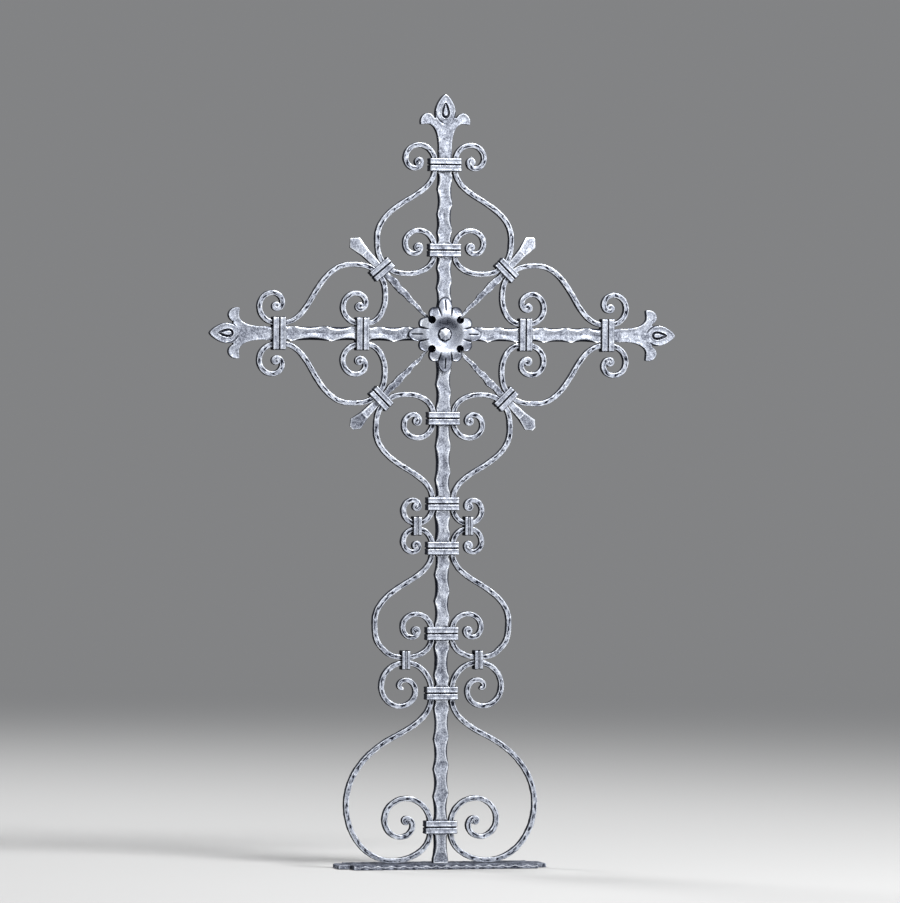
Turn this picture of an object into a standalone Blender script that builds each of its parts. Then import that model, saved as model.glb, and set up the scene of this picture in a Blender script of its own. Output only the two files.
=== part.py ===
"""Wrought-iron grave cross: hammered flat bars, rolled scrolls, riveted rosette and wrapped collars.

Metres, +Z up, the front faces -Y, and the origin is the centre of the base plate's underside.
A scroll is drawn in the frame of the bar that it leans on: u is the distance sideways from the
bar's middle line, and v is the distance along it, towards the scroll's free end.
"""

from math import atan2, cos, hypot, pi, radians, sin, sqrt, tan

import bmesh
import bpy
from mathutils import Vector

# Gap between touching pieces
GAP = 0.0003

# Flat bar of the upright and the arms
BAR_WIDTH = 0.025
BAR_DEPTH = 0.014
BAR_CHAMFER = 0.0008
DENT_PITCH = 0.046
DENT_DEPTH = 0.0016
DENT_CHAMFER = 0.0036
NECK_WIDTH = 0.021

# Fleur-de-lis finial: how far its tip stands past the outer collar, its leaves, and its lens-shaped middle
FINIAL_RISE = 0.113
FINIAL_BEVEL = 0.0012
NECK_PAST_STEM = 0.020
LEAF_DEPTH = 0.010
LEAF_SPAN = 0.082
LEAF_STEM = 0.030
LEAF_FLARE = 0.018
LEAF_ROOT = 0.001
LOBE_WIDTH = 0.024
LOBE_RISE = 0.0137
LOBE_LIFT = 0.0035
LOBE_START = radians(-20)
LOBE_END = radians(155)
LENS_DEPTH = 0.012
LENS_LENGTH = 0.048
LENS_WIDTH = 0.033
LENS_ROOT = 0.006
LENS_SKEW = 0.86
LENS_FULLNESS = 0.72
TEAR_LENGTH = 0.024
TEAR_WIDTH = 0.0135
TEAR_FROM_TIP = 0.0384
TEAR_SINK = 0.0015

# Scroll bar
SCROLL_WIDTH = 0.008
SCROLL_DEPTH = 0.011
SCROLL_END_WIDTH = 0.0058
STEP_ANGLE = radians(30)
ROLL_STEP_ANGLE = radians(45)
STEP_LENGTH = 0.034
TAPER_POINTS = 5

# Wrapped collars: BEAD_EDGE is the share of the wall that stands at a bead's outer end
BEAD_EDGE = 0.7
COLLAR_LENGTH = 0.021
COLLAR_WALL = 0.0034
COLLAR_GROOVE = 0.0018
COLLAR_CORNER = 0.0026
COLLAR_INNER_CORNER = 0.0002
RAY_COLLAR_LENGTH = 0.019
TIE_LENGTH = 0.0135
TIE_WALL = 0.0055
TIE_GROOVE = 0.0018

# Half of the straight stretch of a scroll bar inside a collar
GRIP = 0.0045
RUN_GRIP = 0.0065
RAY_GRIP = 0.005

# The small scroll, which is used ten times; heights count from its inner collar
COLLAR_SPACING = 0.1366
WAIST_U = 0.061
WAIST_V = 0.080
WAIST_TURN = radians(60)
BELLY_U = 0.1105
BELLY_V = 0.0195
FOOT_U = 0.059
FOOT_V = -0.0380
CURL_FIRST_RADIUS = 0.0283
CURL_SHRINK_SWEEP = radians(402)
SHRINK_EASE = 1.15
EYE_RADIUS = 0.0040
EYE_SWEEP = radians(93)
INNER_COLLAR = 0.1344

# The large scroll of the base
BASE_COLLAR_LOW = 0.0644
BASE_COLLAR_HIGH = 0.2789
BASE_WAIST_U = 0.080
BASE_WAIST_DROP = 0.0709
BASE_WAIST_TURN = radians(63)
BASE_BELLY_U = 0.1555
BASE_BELLY_V = 0.102
BASE_FOOT_U = 0.078
BASE_UPPER_RADIUS = 0.0463
BASE_UPPER_SHRINK_SWEEP = radians(562)
BASE_LOWER_RADIUS = 0.0436
BASE_LOWER_SHRINK_SWEEP = radians(480)

# Diagonal rays: the tip counts from the middle of the crossing, the other places from the ray's collar
RAY_TIP = 0.031
RAY_COLLAR_STEP = 0.0113
RAY_SWELL_BACK = 0.0347
RAY_SHOULDER_PAST = 0.0608
RAY_END_PAST = 0.0703
RAY_WIDTH = 0.0104
RAY_SWELL_WIDTH = 0.0136
RAY_SHOULDER_WIDTH = 0.0228
RAY_TIP_WIDTH = 0.0028
RAY_END_WIDTH = 0.0020
RAY_DEPTH = 0.0104
RAY_BEVEL = 0.22

# Rosette and its rivet
ROSETTE_SHEET = 0.0024
ROSETTE_RISE = 0.0085
LONG_PETAL = 0.060
LONG_PETAL_WIDTH = 0.0216
SHORT_PETAL = 0.050
SHORT_PETAL_ANGLE = radians(30)
SHORT_PETAL_HALF_ANGLE = radians(11)
LONG_SHOULDER = 0.72
LONG_ROUNDING = 0.12
SHORT_ROUNDING = 0.14
CLEFT = 0.80
NOTCH_ANGLE = radians(40)
NOTCH_RADIUS = 0.027
PETAL_SEAT = 0.011
RIM_RADIUS = 0.030
OUTLINE_STEPS = (0.0, 8.0, 15.5, 19.5, 29.0, 38.5, 42.0)
RIVET_RADIUS = 0.0091
RIVET_HEIGHT = 0.0065
RIVET_SIDES = 8
RIVET_LEVELS = ((1.0, 0.0), (0.92, 0.4), (0.55, 0.85), (0.12, 1.0))

# Base plate
PLATE_LENGTH = 0.302
PLATE_DEPTH = 0.090
PLATE_THICKNESS = 0.007
TONGUE_LENGTH = 0.020
TONGUE_DEPTH = 0.042
PLATE_EDGE_WAVE = 0.0010
PLATE_WAVE_PITCH = 0.050
PLATE_CHAMFER = 0.0016

# Values that follow from the sizes above
GRIP_U = BAR_WIDTH / 2 + GAP + SCROLL_WIDTH / 2
TIE_SLACK = TIE_LENGTH / 2 * tan(STEP_ANGLE / 2)
OUTER_COLLAR = INNER_COLLAR + COLLAR_SPACING
RAY_COLLAR = INNER_COLLAR + RAY_COLLAR_STEP


def clear_scene():
    for old in list(bpy.data.objects):
        bpy.data.objects.remove(old, do_unlink=True)


def make_material(name, colour, roughness):
    material = bpy.data.materials.new(name)
    material.use_nodes = True
    shader = material.node_tree.nodes["Principled BSDF"]
    shader.inputs["Base Color"].default_value = (*colour, 1.0)
    shader.inputs["Metallic"].default_value = 0.85
    shader.inputs["Roughness"].default_value = roughness
    return material


FINISHES = {
    "bar": ((0.30, 0.31, 0.34), 0.42),
    "scroll": ((0.34, 0.35, 0.38), 0.40),
    "collar": ((0.32, 0.33, 0.36), 0.44),
    "rosette": ((0.40, 0.41, 0.45), 0.38),
    "plate": ((0.24, 0.25, 0.28), 0.50),
}


def finish(name, mesh, kind):
    """Closes a bmesh into a named object with its own material and outward faces."""
    bmesh.ops.remove_doubles(mesh, verts=mesh.verts, dist=1e-6)
    bmesh.ops.recalc_face_normals(mesh, faces=mesh.faces)
    data = bpy.data.meshes.new(name)
    mesh.to_mesh(data)
    mesh.free()
    piece = bpy.data.objects.new(name, data)
    bpy.context.scene.collection.objects.link(piece)
    colour, roughness = FINISHES[kind]
    data.materials.append(make_material(name, colour, roughness))
    return piece


def loft(mesh, loops):
    """Joins closed loops of equal length with quads and caps both ends."""
    rings = [[mesh.verts.new(point) for point in loop] for loop in loops]
    count = len(rings[0])
    for near, far in zip(rings, rings[1:]):
        for i in range(count):
            j = (i + 1) % count
            mesh.faces.new((near[i], near[j], far[j], far[i]))
    mesh.faces.new(list(reversed(rings[0])))
    mesh.faces.new(rings[-1])


def chamfered(left, right, half_depth, cut_left, cut_right):
    """Eight points round a flat bar's section, as (across, depth)."""
    return [
        (-left + cut_left, -half_depth),
        (right - cut_right, -half_depth),
        (right, -half_depth + cut_right),
        (right, half_depth - cut_right),
        (right - cut_right, half_depth),
        (-left + cut_left, half_depth),
        (-left, half_depth - cut_left),
        (-left, -half_depth + cut_left),
    ]


def along(direction, centre=(0.0, 0.0)):
    """Maps (across, depth, length) of a straight piece to the world; direction is an (x, z) pair."""
    dx, dz = direction
    return lambda a, y, s: (centre[0] + dx * s + dz * a, y, centre[1] + dz * s - dx * a)


# Hammered flat bars


def bar_stations(start, end, flats):
    """Places along a hammered bar, as (length, dent on the left, dent on the right)."""
    stations = []
    edges = [start] + [edge for flat in flats for edge in flat] + [end]
    for low, high in zip(edges[::2], edges[1::2]):
        stations.append((low, 0, 0))
        count = max(1, round((high - low) / (DENT_PITCH / 2)))
        for k in range(1, count):
            stations.append((low + (high - low) * k / count, k % 2, 1 - k % 2))
        stations.append((high, 0, 0))
    return stations


def hammered_bar(mesh, place, start, end, flats, neck=None):
    """A flat bar whose arrises are hammered hollow by turns; the neck, if any, is its narrow outer end."""
    loops = []
    for s, dent_left, dent_right in bar_stations(start, end, flats):
        half = BAR_WIDTH / 2
        if neck and s > neck:
            half = NECK_WIDTH / 2
        left = half - DENT_DEPTH * dent_left
        right = half - DENT_DEPTH * dent_right
        cut_left = DENT_CHAMFER if dent_left else BAR_CHAMFER
        cut_right = DENT_CHAMFER if dent_right else BAR_CHAMFER
        section = chamfered(left, right, BAR_DEPTH / 2, cut_left, cut_right)
        loops.append([place(a, y, s) for a, y in section])
    loft(mesh, loops)


def plate_of(outline, half_depth, edge, place):
    """A flat piece with a bevelled rim on both faces, from its outline in (across, length)."""
    mesh = bmesh.new()
    inner = inset_outline(outline, edge)
    rows = [
        (inner, -half_depth),
        (outline, -half_depth + edge),
        (outline, half_depth - edge),
        (inner, half_depth),
    ]
    loft(mesh, [[place(a, y, s) for a, s in row] for row, y in rows])
    bmesh.ops.recalc_face_normals(mesh, faces=mesh.faces)
    return mesh


def inset_outline(outline, edge):
    """Moves each corner of an outline inwards by the rim's width."""
    count = len(outline)
    area = 0.0
    for (x0, y0), (x1, y1) in zip(outline, outline[1:] + outline[:1]):
        area += x0 * y1 - x1 * y0
    turn = 1.0 if area > 0 else -1.0
    result = []
    for i in range(count):
        before, here, after = (Vector(outline[k % count]) for k in (i - 1, i, i + 1))
        first = (here - before).normalized()
        second = (after - here).normalized()
        normal = Vector((-(first.y + second.y), first.x + second.x)) * turn
        result.append(tuple(here + normal.normalized() * edge))
    return result


def mirrored(half):
    """Completes an outline from its right half, whose first and last points are on the middle line."""
    return half + [(-a, s) for a, s in reversed(half[1:-1])]


def teardrop(length, width, base, steps=8):
    """A drop pointing along +s, as (across, length) points."""
    points = []
    for k in range(steps):
        angle = 2 * pi * k / steps
        reach = (1 - cos(angle)) / 2
        points.append((width / 2 * sin(angle) * (1.25 - 0.75 * reach), base + length * reach))
    return points


def boolean(target, mesh, operation):
    """Joins a bmesh to an object, or cuts it away."""
    data = bpy.data.meshes.new("tool")
    mesh.to_mesh(data)
    mesh.free()
    tool = bpy.data.objects.new("tool", data)
    bpy.context.scene.collection.objects.link(tool)
    modifier = target.modifiers.new(operation.lower(), "BOOLEAN")
    modifier.operation = operation
    modifier.solver = "EXACT"
    modifier.object = tool
    graph = bpy.context.evaluated_depsgraph_get()
    result = bpy.data.meshes.new_from_object(target.evaluated_get(graph))
    target.modifiers.clear()
    target.data = result
    bpy.data.objects.remove(tool, do_unlink=True)


def leaf_outline(leaf_line, steps=3):
    """Right half of the leaves: a stem that flares in a quarter ellipse, then a round lobe."""
    root = NECK_WIDTH / 2 + LEAF_ROOT
    points = [(0.0, leaf_line - LEAF_STEM)]
    for k in range(steps + 1):
        angle = pi / 2 * k / steps
        points.append((root + LEAF_FLARE * (1 - cos(angle)), leaf_line - LEAF_STEM * (1 - sin(angle))))
    centre = (LEAF_SPAN - LOBE_WIDTH) / 2
    for k in range(steps + 2):
        angle = LOBE_START + (LOBE_END - LOBE_START) * k / (steps + 1)
        rise = LOBE_LIFT + LOBE_RISE * sin(angle)
        points.append((centre + LOBE_WIDTH / 2 * cos(angle), leaf_line + rise))
    points.append((0.0, points[-1][1]))
    return points


def lens_outline(low, tip, steps=6):
    """Right half of the lens between the leaves, fullest below its middle."""
    points = [(0.0, low)]
    for k in range(1, steps):
        share = k / steps
        half = LENS_WIDTH / 2 * sin(pi * share ** LENS_SKEW) ** LENS_FULLNESS
        points.append((half, low + (tip - low) * share))
    points.append((0.0, tip))
    return points


def add_finial(bar, place, base):
    """Fuses the fleur-de-lis to a bar's neck; base is the outer collar's place along the bar."""
    tip = base + FINIAL_RISE
    leaf_line = tip - LENS_LENGTH
    leaves = leaf_outline(leaf_line)
    boolean(bar, plate_of(mirrored(leaves), LEAF_DEPTH / 2, FINIAL_BEVEL, place), "UNION")
    lens = lens_outline(leaf_line - LENS_ROOT, tip)
    boolean(bar, plate_of(mirrored(lens), LENS_DEPTH / 2, FINIAL_BEVEL, place), "UNION")
    cutter = bmesh.new()
    drop = teardrop(TEAR_LENGTH, TEAR_WIDTH, tip - TEAR_FROM_TIP)
    depths = (TEAR_SINK - LENS_DEPTH / 2, -LENS_DEPTH)
    loft(cutter, [[place(a, y, s) for a, s in drop] for y in depths])
    bmesh.ops.recalc_face_normals(cutter, faces=cutter.faces)
    boolean(bar, cutter, "DIFFERENCE")


def build_bars():
    """The upright, and the two arms that butt against its sides behind the rosette."""
    half = COLLAR_LENGTH / 2
    finial_start = OUTER_COLLAR + half
    neck_end = OUTER_COLLAR + FINIAL_RISE - LENS_LENGTH - LEAF_STEM + NECK_PAST_STEM

    def flats_at(places):
        return [(place - half, place + half) for place in places]

    low = PLATE_THICKNESS + GAP
    collars = flats_at([BASE_COLLAR_LOW, BASE_COLLAR_HIGH, MIDDLE_COLLAR_LOW, MIDDLE_COLLAR_HIGH,
                        HEAD_HEIGHT - OUTER_COLLAR, HEAD_HEIGHT - INNER_COLLAR])
    crossing = [(HEAD_HEIGHT - BAR_WIDTH / 2, HEAD_HEIGHT + BAR_WIDTH / 2)]
    top = flats_at([HEAD_HEIGHT + INNER_COLLAR, HEAD_HEIGHT + OUTER_COLLAR])
    mesh = bmesh.new()
    place = along((0.0, 1.0))
    high = HEAD_HEIGHT + neck_end
    hammered_bar(mesh, place, low, high, collars + crossing + top, HEAD_HEIGHT + finial_start)
    upright = finish("upright", mesh, "bar")
    add_finial(upright, place, HEAD_HEIGHT + OUTER_COLLAR)

    for side, name in ((-1, "arm_left"), (1, "arm_right")):
        mesh = bmesh.new()
        place = along((side, 0.0), (0.0, HEAD_HEIGHT))
        flats = flats_at([INNER_COLLAR, OUTER_COLLAR])
        hammered_bar(mesh, place, BAR_WIDTH / 2 + GAP, neck_end, flats, finial_start)
        arm = finish(name, mesh, "bar")
        add_finial(arm, place, OUTER_COLLAR)


# Scrolls


def spiral(start, first_radius, shrink_sweep):
    """Rolls up clockwise from a point heading along +v; the radius shrinks down to the eye's."""
    sweep = shrink_sweep + EYE_SWEEP
    wide = round(pi / STEP_ANGLE)
    tight = max(1, round((sweep - pi) / ROLL_STEP_ANGLE))
    turns = [pi / wide] * wide + [(sweep - pi) / tight] * tight
    fine = 12
    u, v = start
    turned = 0.0
    points = [start]
    for turn in turns:
        for _ in range(fine):
            middle = turned + turn / fine / 2
            share = min(1.0, middle / shrink_sweep) ** SHRINK_EASE
            radius = first_radius + (EYE_RADIUS - first_radius) * share
            u += radius * turn / fine * cos(pi / 2 - middle)
            v += radius * turn / fine * sin(pi / 2 - middle)
            turned += turn / fine
        points.append((u, v))
    return points


def spiral_crest(first_radius, shrink_sweep):
    """Where a spiral turns back, as its shift sideways and its rise."""
    crest = round(pi / 2 / STEP_ANGLE)
    return spiral((0.0, 0.0), first_radius, shrink_sweep)[crest]


def bend(start, end):
    """A smooth run between two knots (u, v, heading), nearly an arc; the first knot isn't repeated."""
    u0, v0, h0 = start
    u1, v1, h1 = end
    turn = (h1 - h0 + pi) % (2 * pi) - pi
    chord = hypot(u1 - u0, v1 - v0)
    pull = chord / cos(turn / 4) ** 2
    steps = max(1, round(abs(turn) / STEP_ANGLE), round(chord / STEP_LENGTH))
    points = []
    for k in range(1, steps + 1):
        t = k / steps
        a = 2 * t ** 3 - 3 * t ** 2 + 1
        b = t ** 3 - 2 * t ** 2 + t
        c = 3 * t ** 2 - 2 * t ** 3
        d = t ** 3 - t ** 2
        points.append((
            a * u0 + b * pull * cos(h0) + c * u1 + d * pull * cos(h1),
            a * v0 + b * pull * sin(h0) + c * v1 + d * pull * sin(h1),
        ))
    return points


def scroll_path(outer, inner, knots, outer_curl, inner_curl):
    """Centre line of a scroll that is held by two collars, at heights outer and inner of its bar."""
    down, up = -pi / 2, pi / 2
    path = list(reversed(spiral((GRIP_U, outer + GRIP), *outer_curl)))
    path.append((GRIP_U, outer - RUN_GRIP))
    before = (GRIP_U, outer - RUN_GRIP, down)
    for knot in knots:
        path += bend(before, knot)
        before = knot
    path += bend(before, (GRIP_U, inner - RUN_GRIP, up))
    path += spiral((GRIP_U, inner + GRIP), *inner_curl)
    return path


def reach_across(path, centre, direction, half_length):
    """How far a scroll bar's outer side stands from a straight bar's middle line, inside a collar on it."""
    widest = 0.0
    samples = 16
    for (u0, v0), (u1, v1) in zip(path, path[1:]):
        length = hypot(u1 - u0, v1 - v0)
        slant = abs((u1 - u0) * direction[0] + (v1 - v0) * direction[1]) / length
        for k in range(samples + 1):
            u = u0 + (u1 - u0) * k / samples - centre[0]
            v = v0 + (v1 - v0) * k / samples - centre[1]
            across = abs(u * direction[1] - v * direction[0])
            lengthwise = abs(u * direction[0] + v * direction[1])
            if lengthwise <= half_length and across < GRIP_U + SCROLL_WIDTH:
                widest = max(widest, across + SCROLL_WIDTH / 2 / slant)
    return widest


def sweep_bar(name, path, place):
    """A flat bar rolled along a centre line, drawn down at its two rolled ends."""
    loops = []
    last = len(path) - 1
    for i, (u, v) in enumerate(path):
        before = path[max(i - 1, 0)]
        after = path[min(i + 1, last)]
        length = hypot(after[0] - before[0], after[1] - before[1])
        normal = (-(after[1] - before[1]) / length, (after[0] - before[0]) / length)
        from_end = min(i, last - i)
        share = min(1.0, from_end / TAPER_POINTS)
        half = (SCROLL_END_WIDTH + (SCROLL_WIDTH - SCROLL_END_WIDTH) * share) / 2
        corners = ((-half, -1), (half, -1), (half, 1), (-half, 1))
        loops.append([
            place(u + normal[0] * w, y * SCROLL_DEPTH / 2, v + normal[1] * w) for w, y in corners
        ])
    mesh = bmesh.new()
    loft(mesh, loops)
    return finish(name, mesh, "scroll")


def small_path():
    """The ten small scrolls share this line; its two diagonal knots lie along the ray, in its collar."""
    curl = (CURL_FIRST_RADIUS, CURL_SHRINK_SWEEP)
    offset = (RAY_WIDTH / 2 + GAP + SCROLL_WIDTH / 2) / sqrt(2)
    ray = RAY_COLLAR / sqrt(2)
    step = RAY_GRIP / sqrt(2)
    along_ray = -3 * pi / 4
    knots = [
        (WAIST_U, INNER_COLLAR + WAIST_V, -pi / 2 + WAIST_TURN),
        (BELLY_U, INNER_COLLAR + BELLY_V, -pi / 2),
        (ray - offset + step, ray + offset + step, along_ray),
        (ray - offset - step, ray + offset - step, along_ray),
        (FOOT_U, INNER_COLLAR + FOOT_V, -pi),
    ]
    return scroll_path(OUTER_COLLAR, INNER_COLLAR, knots, curl, curl)


def base_path():
    """The large scroll: its foot rests on the plate, and its upper curl touches the scroll above."""
    knots = [
        (BASE_WAIST_U, BASE_COLLAR_HIGH - BASE_WAIST_DROP, -pi / 2 + BASE_WAIST_TURN),
        (BASE_BELLY_U, BASE_BELLY_V, -pi / 2),
        (BASE_FOOT_U, PLATE_THICKNESS + GAP + SCROLL_WIDTH / 2, -pi),
    ]
    upper = (BASE_UPPER_RADIUS, BASE_UPPER_SHRINK_SWEEP)
    lower = (BASE_LOWER_RADIUS, BASE_LOWER_SHRINK_SWEEP)
    return scroll_path(BASE_COLLAR_HIGH, BASE_COLLAR_LOW, knots, upper, lower)


SMALL_CREST = spiral_crest(CURL_FIRST_RADIUS, CURL_SHRINK_SWEEP)
BASE_CREST = spiral_crest(BASE_UPPER_RADIUS, BASE_UPPER_SHRINK_SWEEP)
SMALL_RISE = GRIP + SMALL_CREST[1] + SCROLL_WIDTH / 2
BASE_RISE = GRIP + BASE_CREST[1] + SCROLL_WIDTH / 2

# Heights up the cross: each scroll stands on the one below, and a tie holds the two where they touch
LOWER_TIE_HEIGHT = BASE_COLLAR_HIGH + BASE_RISE + GAP / 2
MIDDLE_COLLAR_LOW = LOWER_TIE_HEIGHT + GAP / 2 + SCROLL_WIDTH / 2 - FOOT_V
MIDDLE_COLLAR_HIGH = MIDDLE_COLLAR_LOW + COLLAR_SPACING
UPPER_TIE_HEIGHT = MIDDLE_COLLAR_HIGH + SMALL_RISE + GAP / 2
HEAD_HEIGHT = UPPER_TIE_HEIGHT + GAP / 2 + SMALL_RISE + OUTER_COLLAR


def build_scrolls():
    small = small_path()
    middle_shift = MIDDLE_COLLAR_LOW - INNER_COLLAR
    for side, hand in ((-1, "left"), (1, "right")):
        top = lambda u, y, v, side=side: (side * u, y, HEAD_HEIGHT + v)
        neck = lambda u, y, v, side=side: (side * u, y, HEAD_HEIGHT - v)
        middle = lambda u, y, v, side=side: (side * u, y, v + middle_shift)
        upper = lambda u, y, v, side=side: (side * v, y, HEAD_HEIGHT + u)
        lower = lambda u, y, v, side=side: (side * v, y, HEAD_HEIGHT - u)
        base = lambda u, y, v, side=side: (side * u, y, v)
        sweep_bar(f"scroll_top_{hand}", small, top)
        sweep_bar(f"scroll_arm_{hand}_upper", small, upper)
        sweep_bar(f"scroll_arm_{hand}_lower", small, lower)
        sweep_bar(f"scroll_neck_{hand}", small, neck)
        sweep_bar(f"scroll_middle_{hand}", small, middle)
        sweep_bar(f"scroll_base_{hand}", base_path(), base)


# Collars


def ring(name, place, half_across, half_depth, length, wall, beads, groove):
    """A band wrapped round a bundle; its outside has rounded beads with grooves between them."""
    mesh = bmesh.new()
    profile = [(-length / 2, 0.0), (-length / 2, wall * BEAD_EDGE)]
    for bead in range(beads):
        middle = -length / 2 + length * (bead + 0.5) / beads
        profile.append((middle, wall))
        if bead < beads - 1:
            profile.append((middle + length / beads / 2, wall - groove))
    profile += [(length / 2, wall * BEAD_EDGE), (length / 2, 0.0)]
    rings = []
    for s, out in profile:
        corner = COLLAR_CORNER if out > 0 else COLLAR_INNER_CORNER
        section = chamfered(half_across + out, half_across + out, half_depth + out, corner, corner)
        rings.append([mesh.verts.new(place(a, y, s)) for a, y in section])
    for near, far in zip(rings, rings[1:] + rings[:1]):
        for i in range(len(near)):
            j = (i + 1) % len(near)
            mesh.faces.new((near[i], near[j], far[j], far[i]))
    return finish(name, mesh, "collar")


def build_collars():
    small, base = small_path(), base_path()
    spots = (
        (small, INNER_COLLAR),
        (small, OUTER_COLLAR),
        (base, BASE_COLLAR_LOW),
        (base, BASE_COLLAR_HIGH),
    )
    reaches = [reach_across(path, (0.0, v), (0.0, 1.0), COLLAR_LENGTH / 2) for path, v in spots]
    bundle = max(reaches) + GAP
    deep = max(BAR_DEPTH, SCROLL_DEPTH) / 2 + GAP
    heights = {
        "collar_top_outer": HEAD_HEIGHT + OUTER_COLLAR,
        "collar_top_inner": HEAD_HEIGHT + INNER_COLLAR,
        "collar_neck_inner": HEAD_HEIGHT - INNER_COLLAR,
        "collar_neck_outer": HEAD_HEIGHT - OUTER_COLLAR,
        "collar_middle_upper": MIDDLE_COLLAR_HIGH,
        "collar_middle_lower": MIDDLE_COLLAR_LOW,
        "collar_base_upper": BASE_COLLAR_HIGH,
        "collar_base_lower": BASE_COLLAR_LOW,
    }
    for name, height in heights.items():
        place = along((0.0, 1.0), (0.0, height))
        ring(name, place, bundle, deep, COLLAR_LENGTH, COLLAR_WALL, 2, COLLAR_GROOVE)
    for side, hand in ((-1, "left"), (1, "right")):
        for reach, spot in ((INNER_COLLAR, "inner"), (OUTER_COLLAR, "outer")):
            place = along((side, 0.0), (side * reach, HEAD_HEIGHT))
            name = f"collar_{hand}_{spot}"
            ring(name, place, bundle, deep, COLLAR_LENGTH, COLLAR_WALL, 2, COLLAR_GROOVE)

    half_root = 1 / sqrt(2)
    ray_spot = (RAY_COLLAR * half_root, RAY_COLLAR * half_root)
    ray_bundle = reach_across(small, ray_spot, (half_root, half_root), RAY_COLLAR_LENGTH / 2) + GAP
    ray_deep = max(RAY_DEPTH, SCROLL_DEPTH) / 2 + GAP
    for side, hand in ((-1, "left"), (1, "right")):
        for rise, level in ((1, "upper"), (-1, "lower")):
            direction = (side / sqrt(2), rise / sqrt(2))
            centre = (direction[0] * RAY_COLLAR, HEAD_HEIGHT + direction[1] * RAY_COLLAR)
            place = along(direction, centre)
            ring(f"collar_ray_{level}_{hand}", place, ray_bundle, ray_deep,
                 RAY_COLLAR_LENGTH, COLLAR_WALL, 2, COLLAR_GROOVE)

    ties = (
        ("upper", UPPER_TIE_HEIGHT, GRIP_U + SMALL_CREST[0]),
        ("lower", LOWER_TIE_HEIGHT, GRIP_U + BASE_CREST[0]),
    )
    for level, height, reach in ties:
        for side, hand in ((-1, "left"), (1, "right")):
            place = along((side, 0.0), (side * reach, height))
            half = GAP / 2 + SCROLL_WIDTH + TIE_SLACK + GAP
            tie_deep = SCROLL_DEPTH / 2 + GAP
            ring(f"tie_{level}_{hand}", place, half, tie_deep, TIE_LENGTH, TIE_WALL, 3, TIE_GROOVE)


# Rays


def build_rays():
    stations = (
        (RAY_TIP, RAY_TIP_WIDTH, RAY_TIP_WIDTH),
        (RAY_COLLAR - RAY_SWELL_BACK, RAY_SWELL_WIDTH, RAY_DEPTH),
        (RAY_COLLAR - RAY_COLLAR_LENGTH / 2, RAY_WIDTH, RAY_DEPTH),
        (RAY_COLLAR + RAY_COLLAR_LENGTH / 2, RAY_WIDTH, RAY_DEPTH),
        (RAY_COLLAR + RAY_SHOULDER_PAST, RAY_SHOULDER_WIDTH, RAY_DEPTH),
        (RAY_COLLAR + RAY_END_PAST, RAY_END_WIDTH, RAY_DEPTH / 2),
    )
    for side, hand in ((-1, "left"), (1, "right")):
        for rise, level in ((1, "upper"), (-1, "lower")):
            place = along((side / sqrt(2), rise / sqrt(2)), (0.0, HEAD_HEIGHT))
            loops = []
            for s, width, depth in stations:
                cut = RAY_BEVEL * min(width, depth)
                section = chamfered(width / 2, width / 2, depth / 2, cut, cut)
                loops.append([place(a, y, s) for a, y in section])
            mesh = bmesh.new()
            loft(mesh, loops)
            finish(f"ray_{level}_{hand}", mesh, "bar")


# Rosette


def petal_reach(angle):
    """The rosette's outline: four long petals, with two short round ones between each pair."""
    quarter = pi / 2
    from_long = abs((angle + quarter / 2) % quarter - quarter / 2)
    half_width = LONG_PETAL_WIDTH / 2
    edge = atan2(half_width, LONG_PETAL * LONG_SHOULDER)
    if from_long < edge:
        return LONG_PETAL * (1 - LONG_ROUNDING * (from_long / edge) ** 2)
    from_short = abs(from_long - SHORT_PETAL_ANGLE)
    if from_short < SHORT_PETAL_HALF_ANGLE:
        return SHORT_PETAL * (1 - SHORT_ROUNDING * (from_short / SHORT_PETAL_HALF_ANGLE) ** 2)
    if from_long > NOTCH_ANGLE:
        return NOTCH_RADIUS
    return SHORT_PETAL * CLEFT


def rosette_front(radius):
    """How far the front of the sheet stands before the bars: flat seat, dished rim, petals turned back."""
    if radius < PETAL_SEAT:
        return ROSETTE_SHEET
    if radius < RIM_RADIUS:
        share = (radius - PETAL_SEAT) / (RIM_RADIUS - PETAL_SEAT)
        return ROSETTE_SHEET + ROSETTE_RISE * sin(share * pi / 2)
    share = min(1.0, (radius - RIM_RADIUS) / (LONG_PETAL - RIM_RADIUS))
    return ROSETTE_SHEET + ROSETTE_RISE * cos(share * pi / 2)


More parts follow.
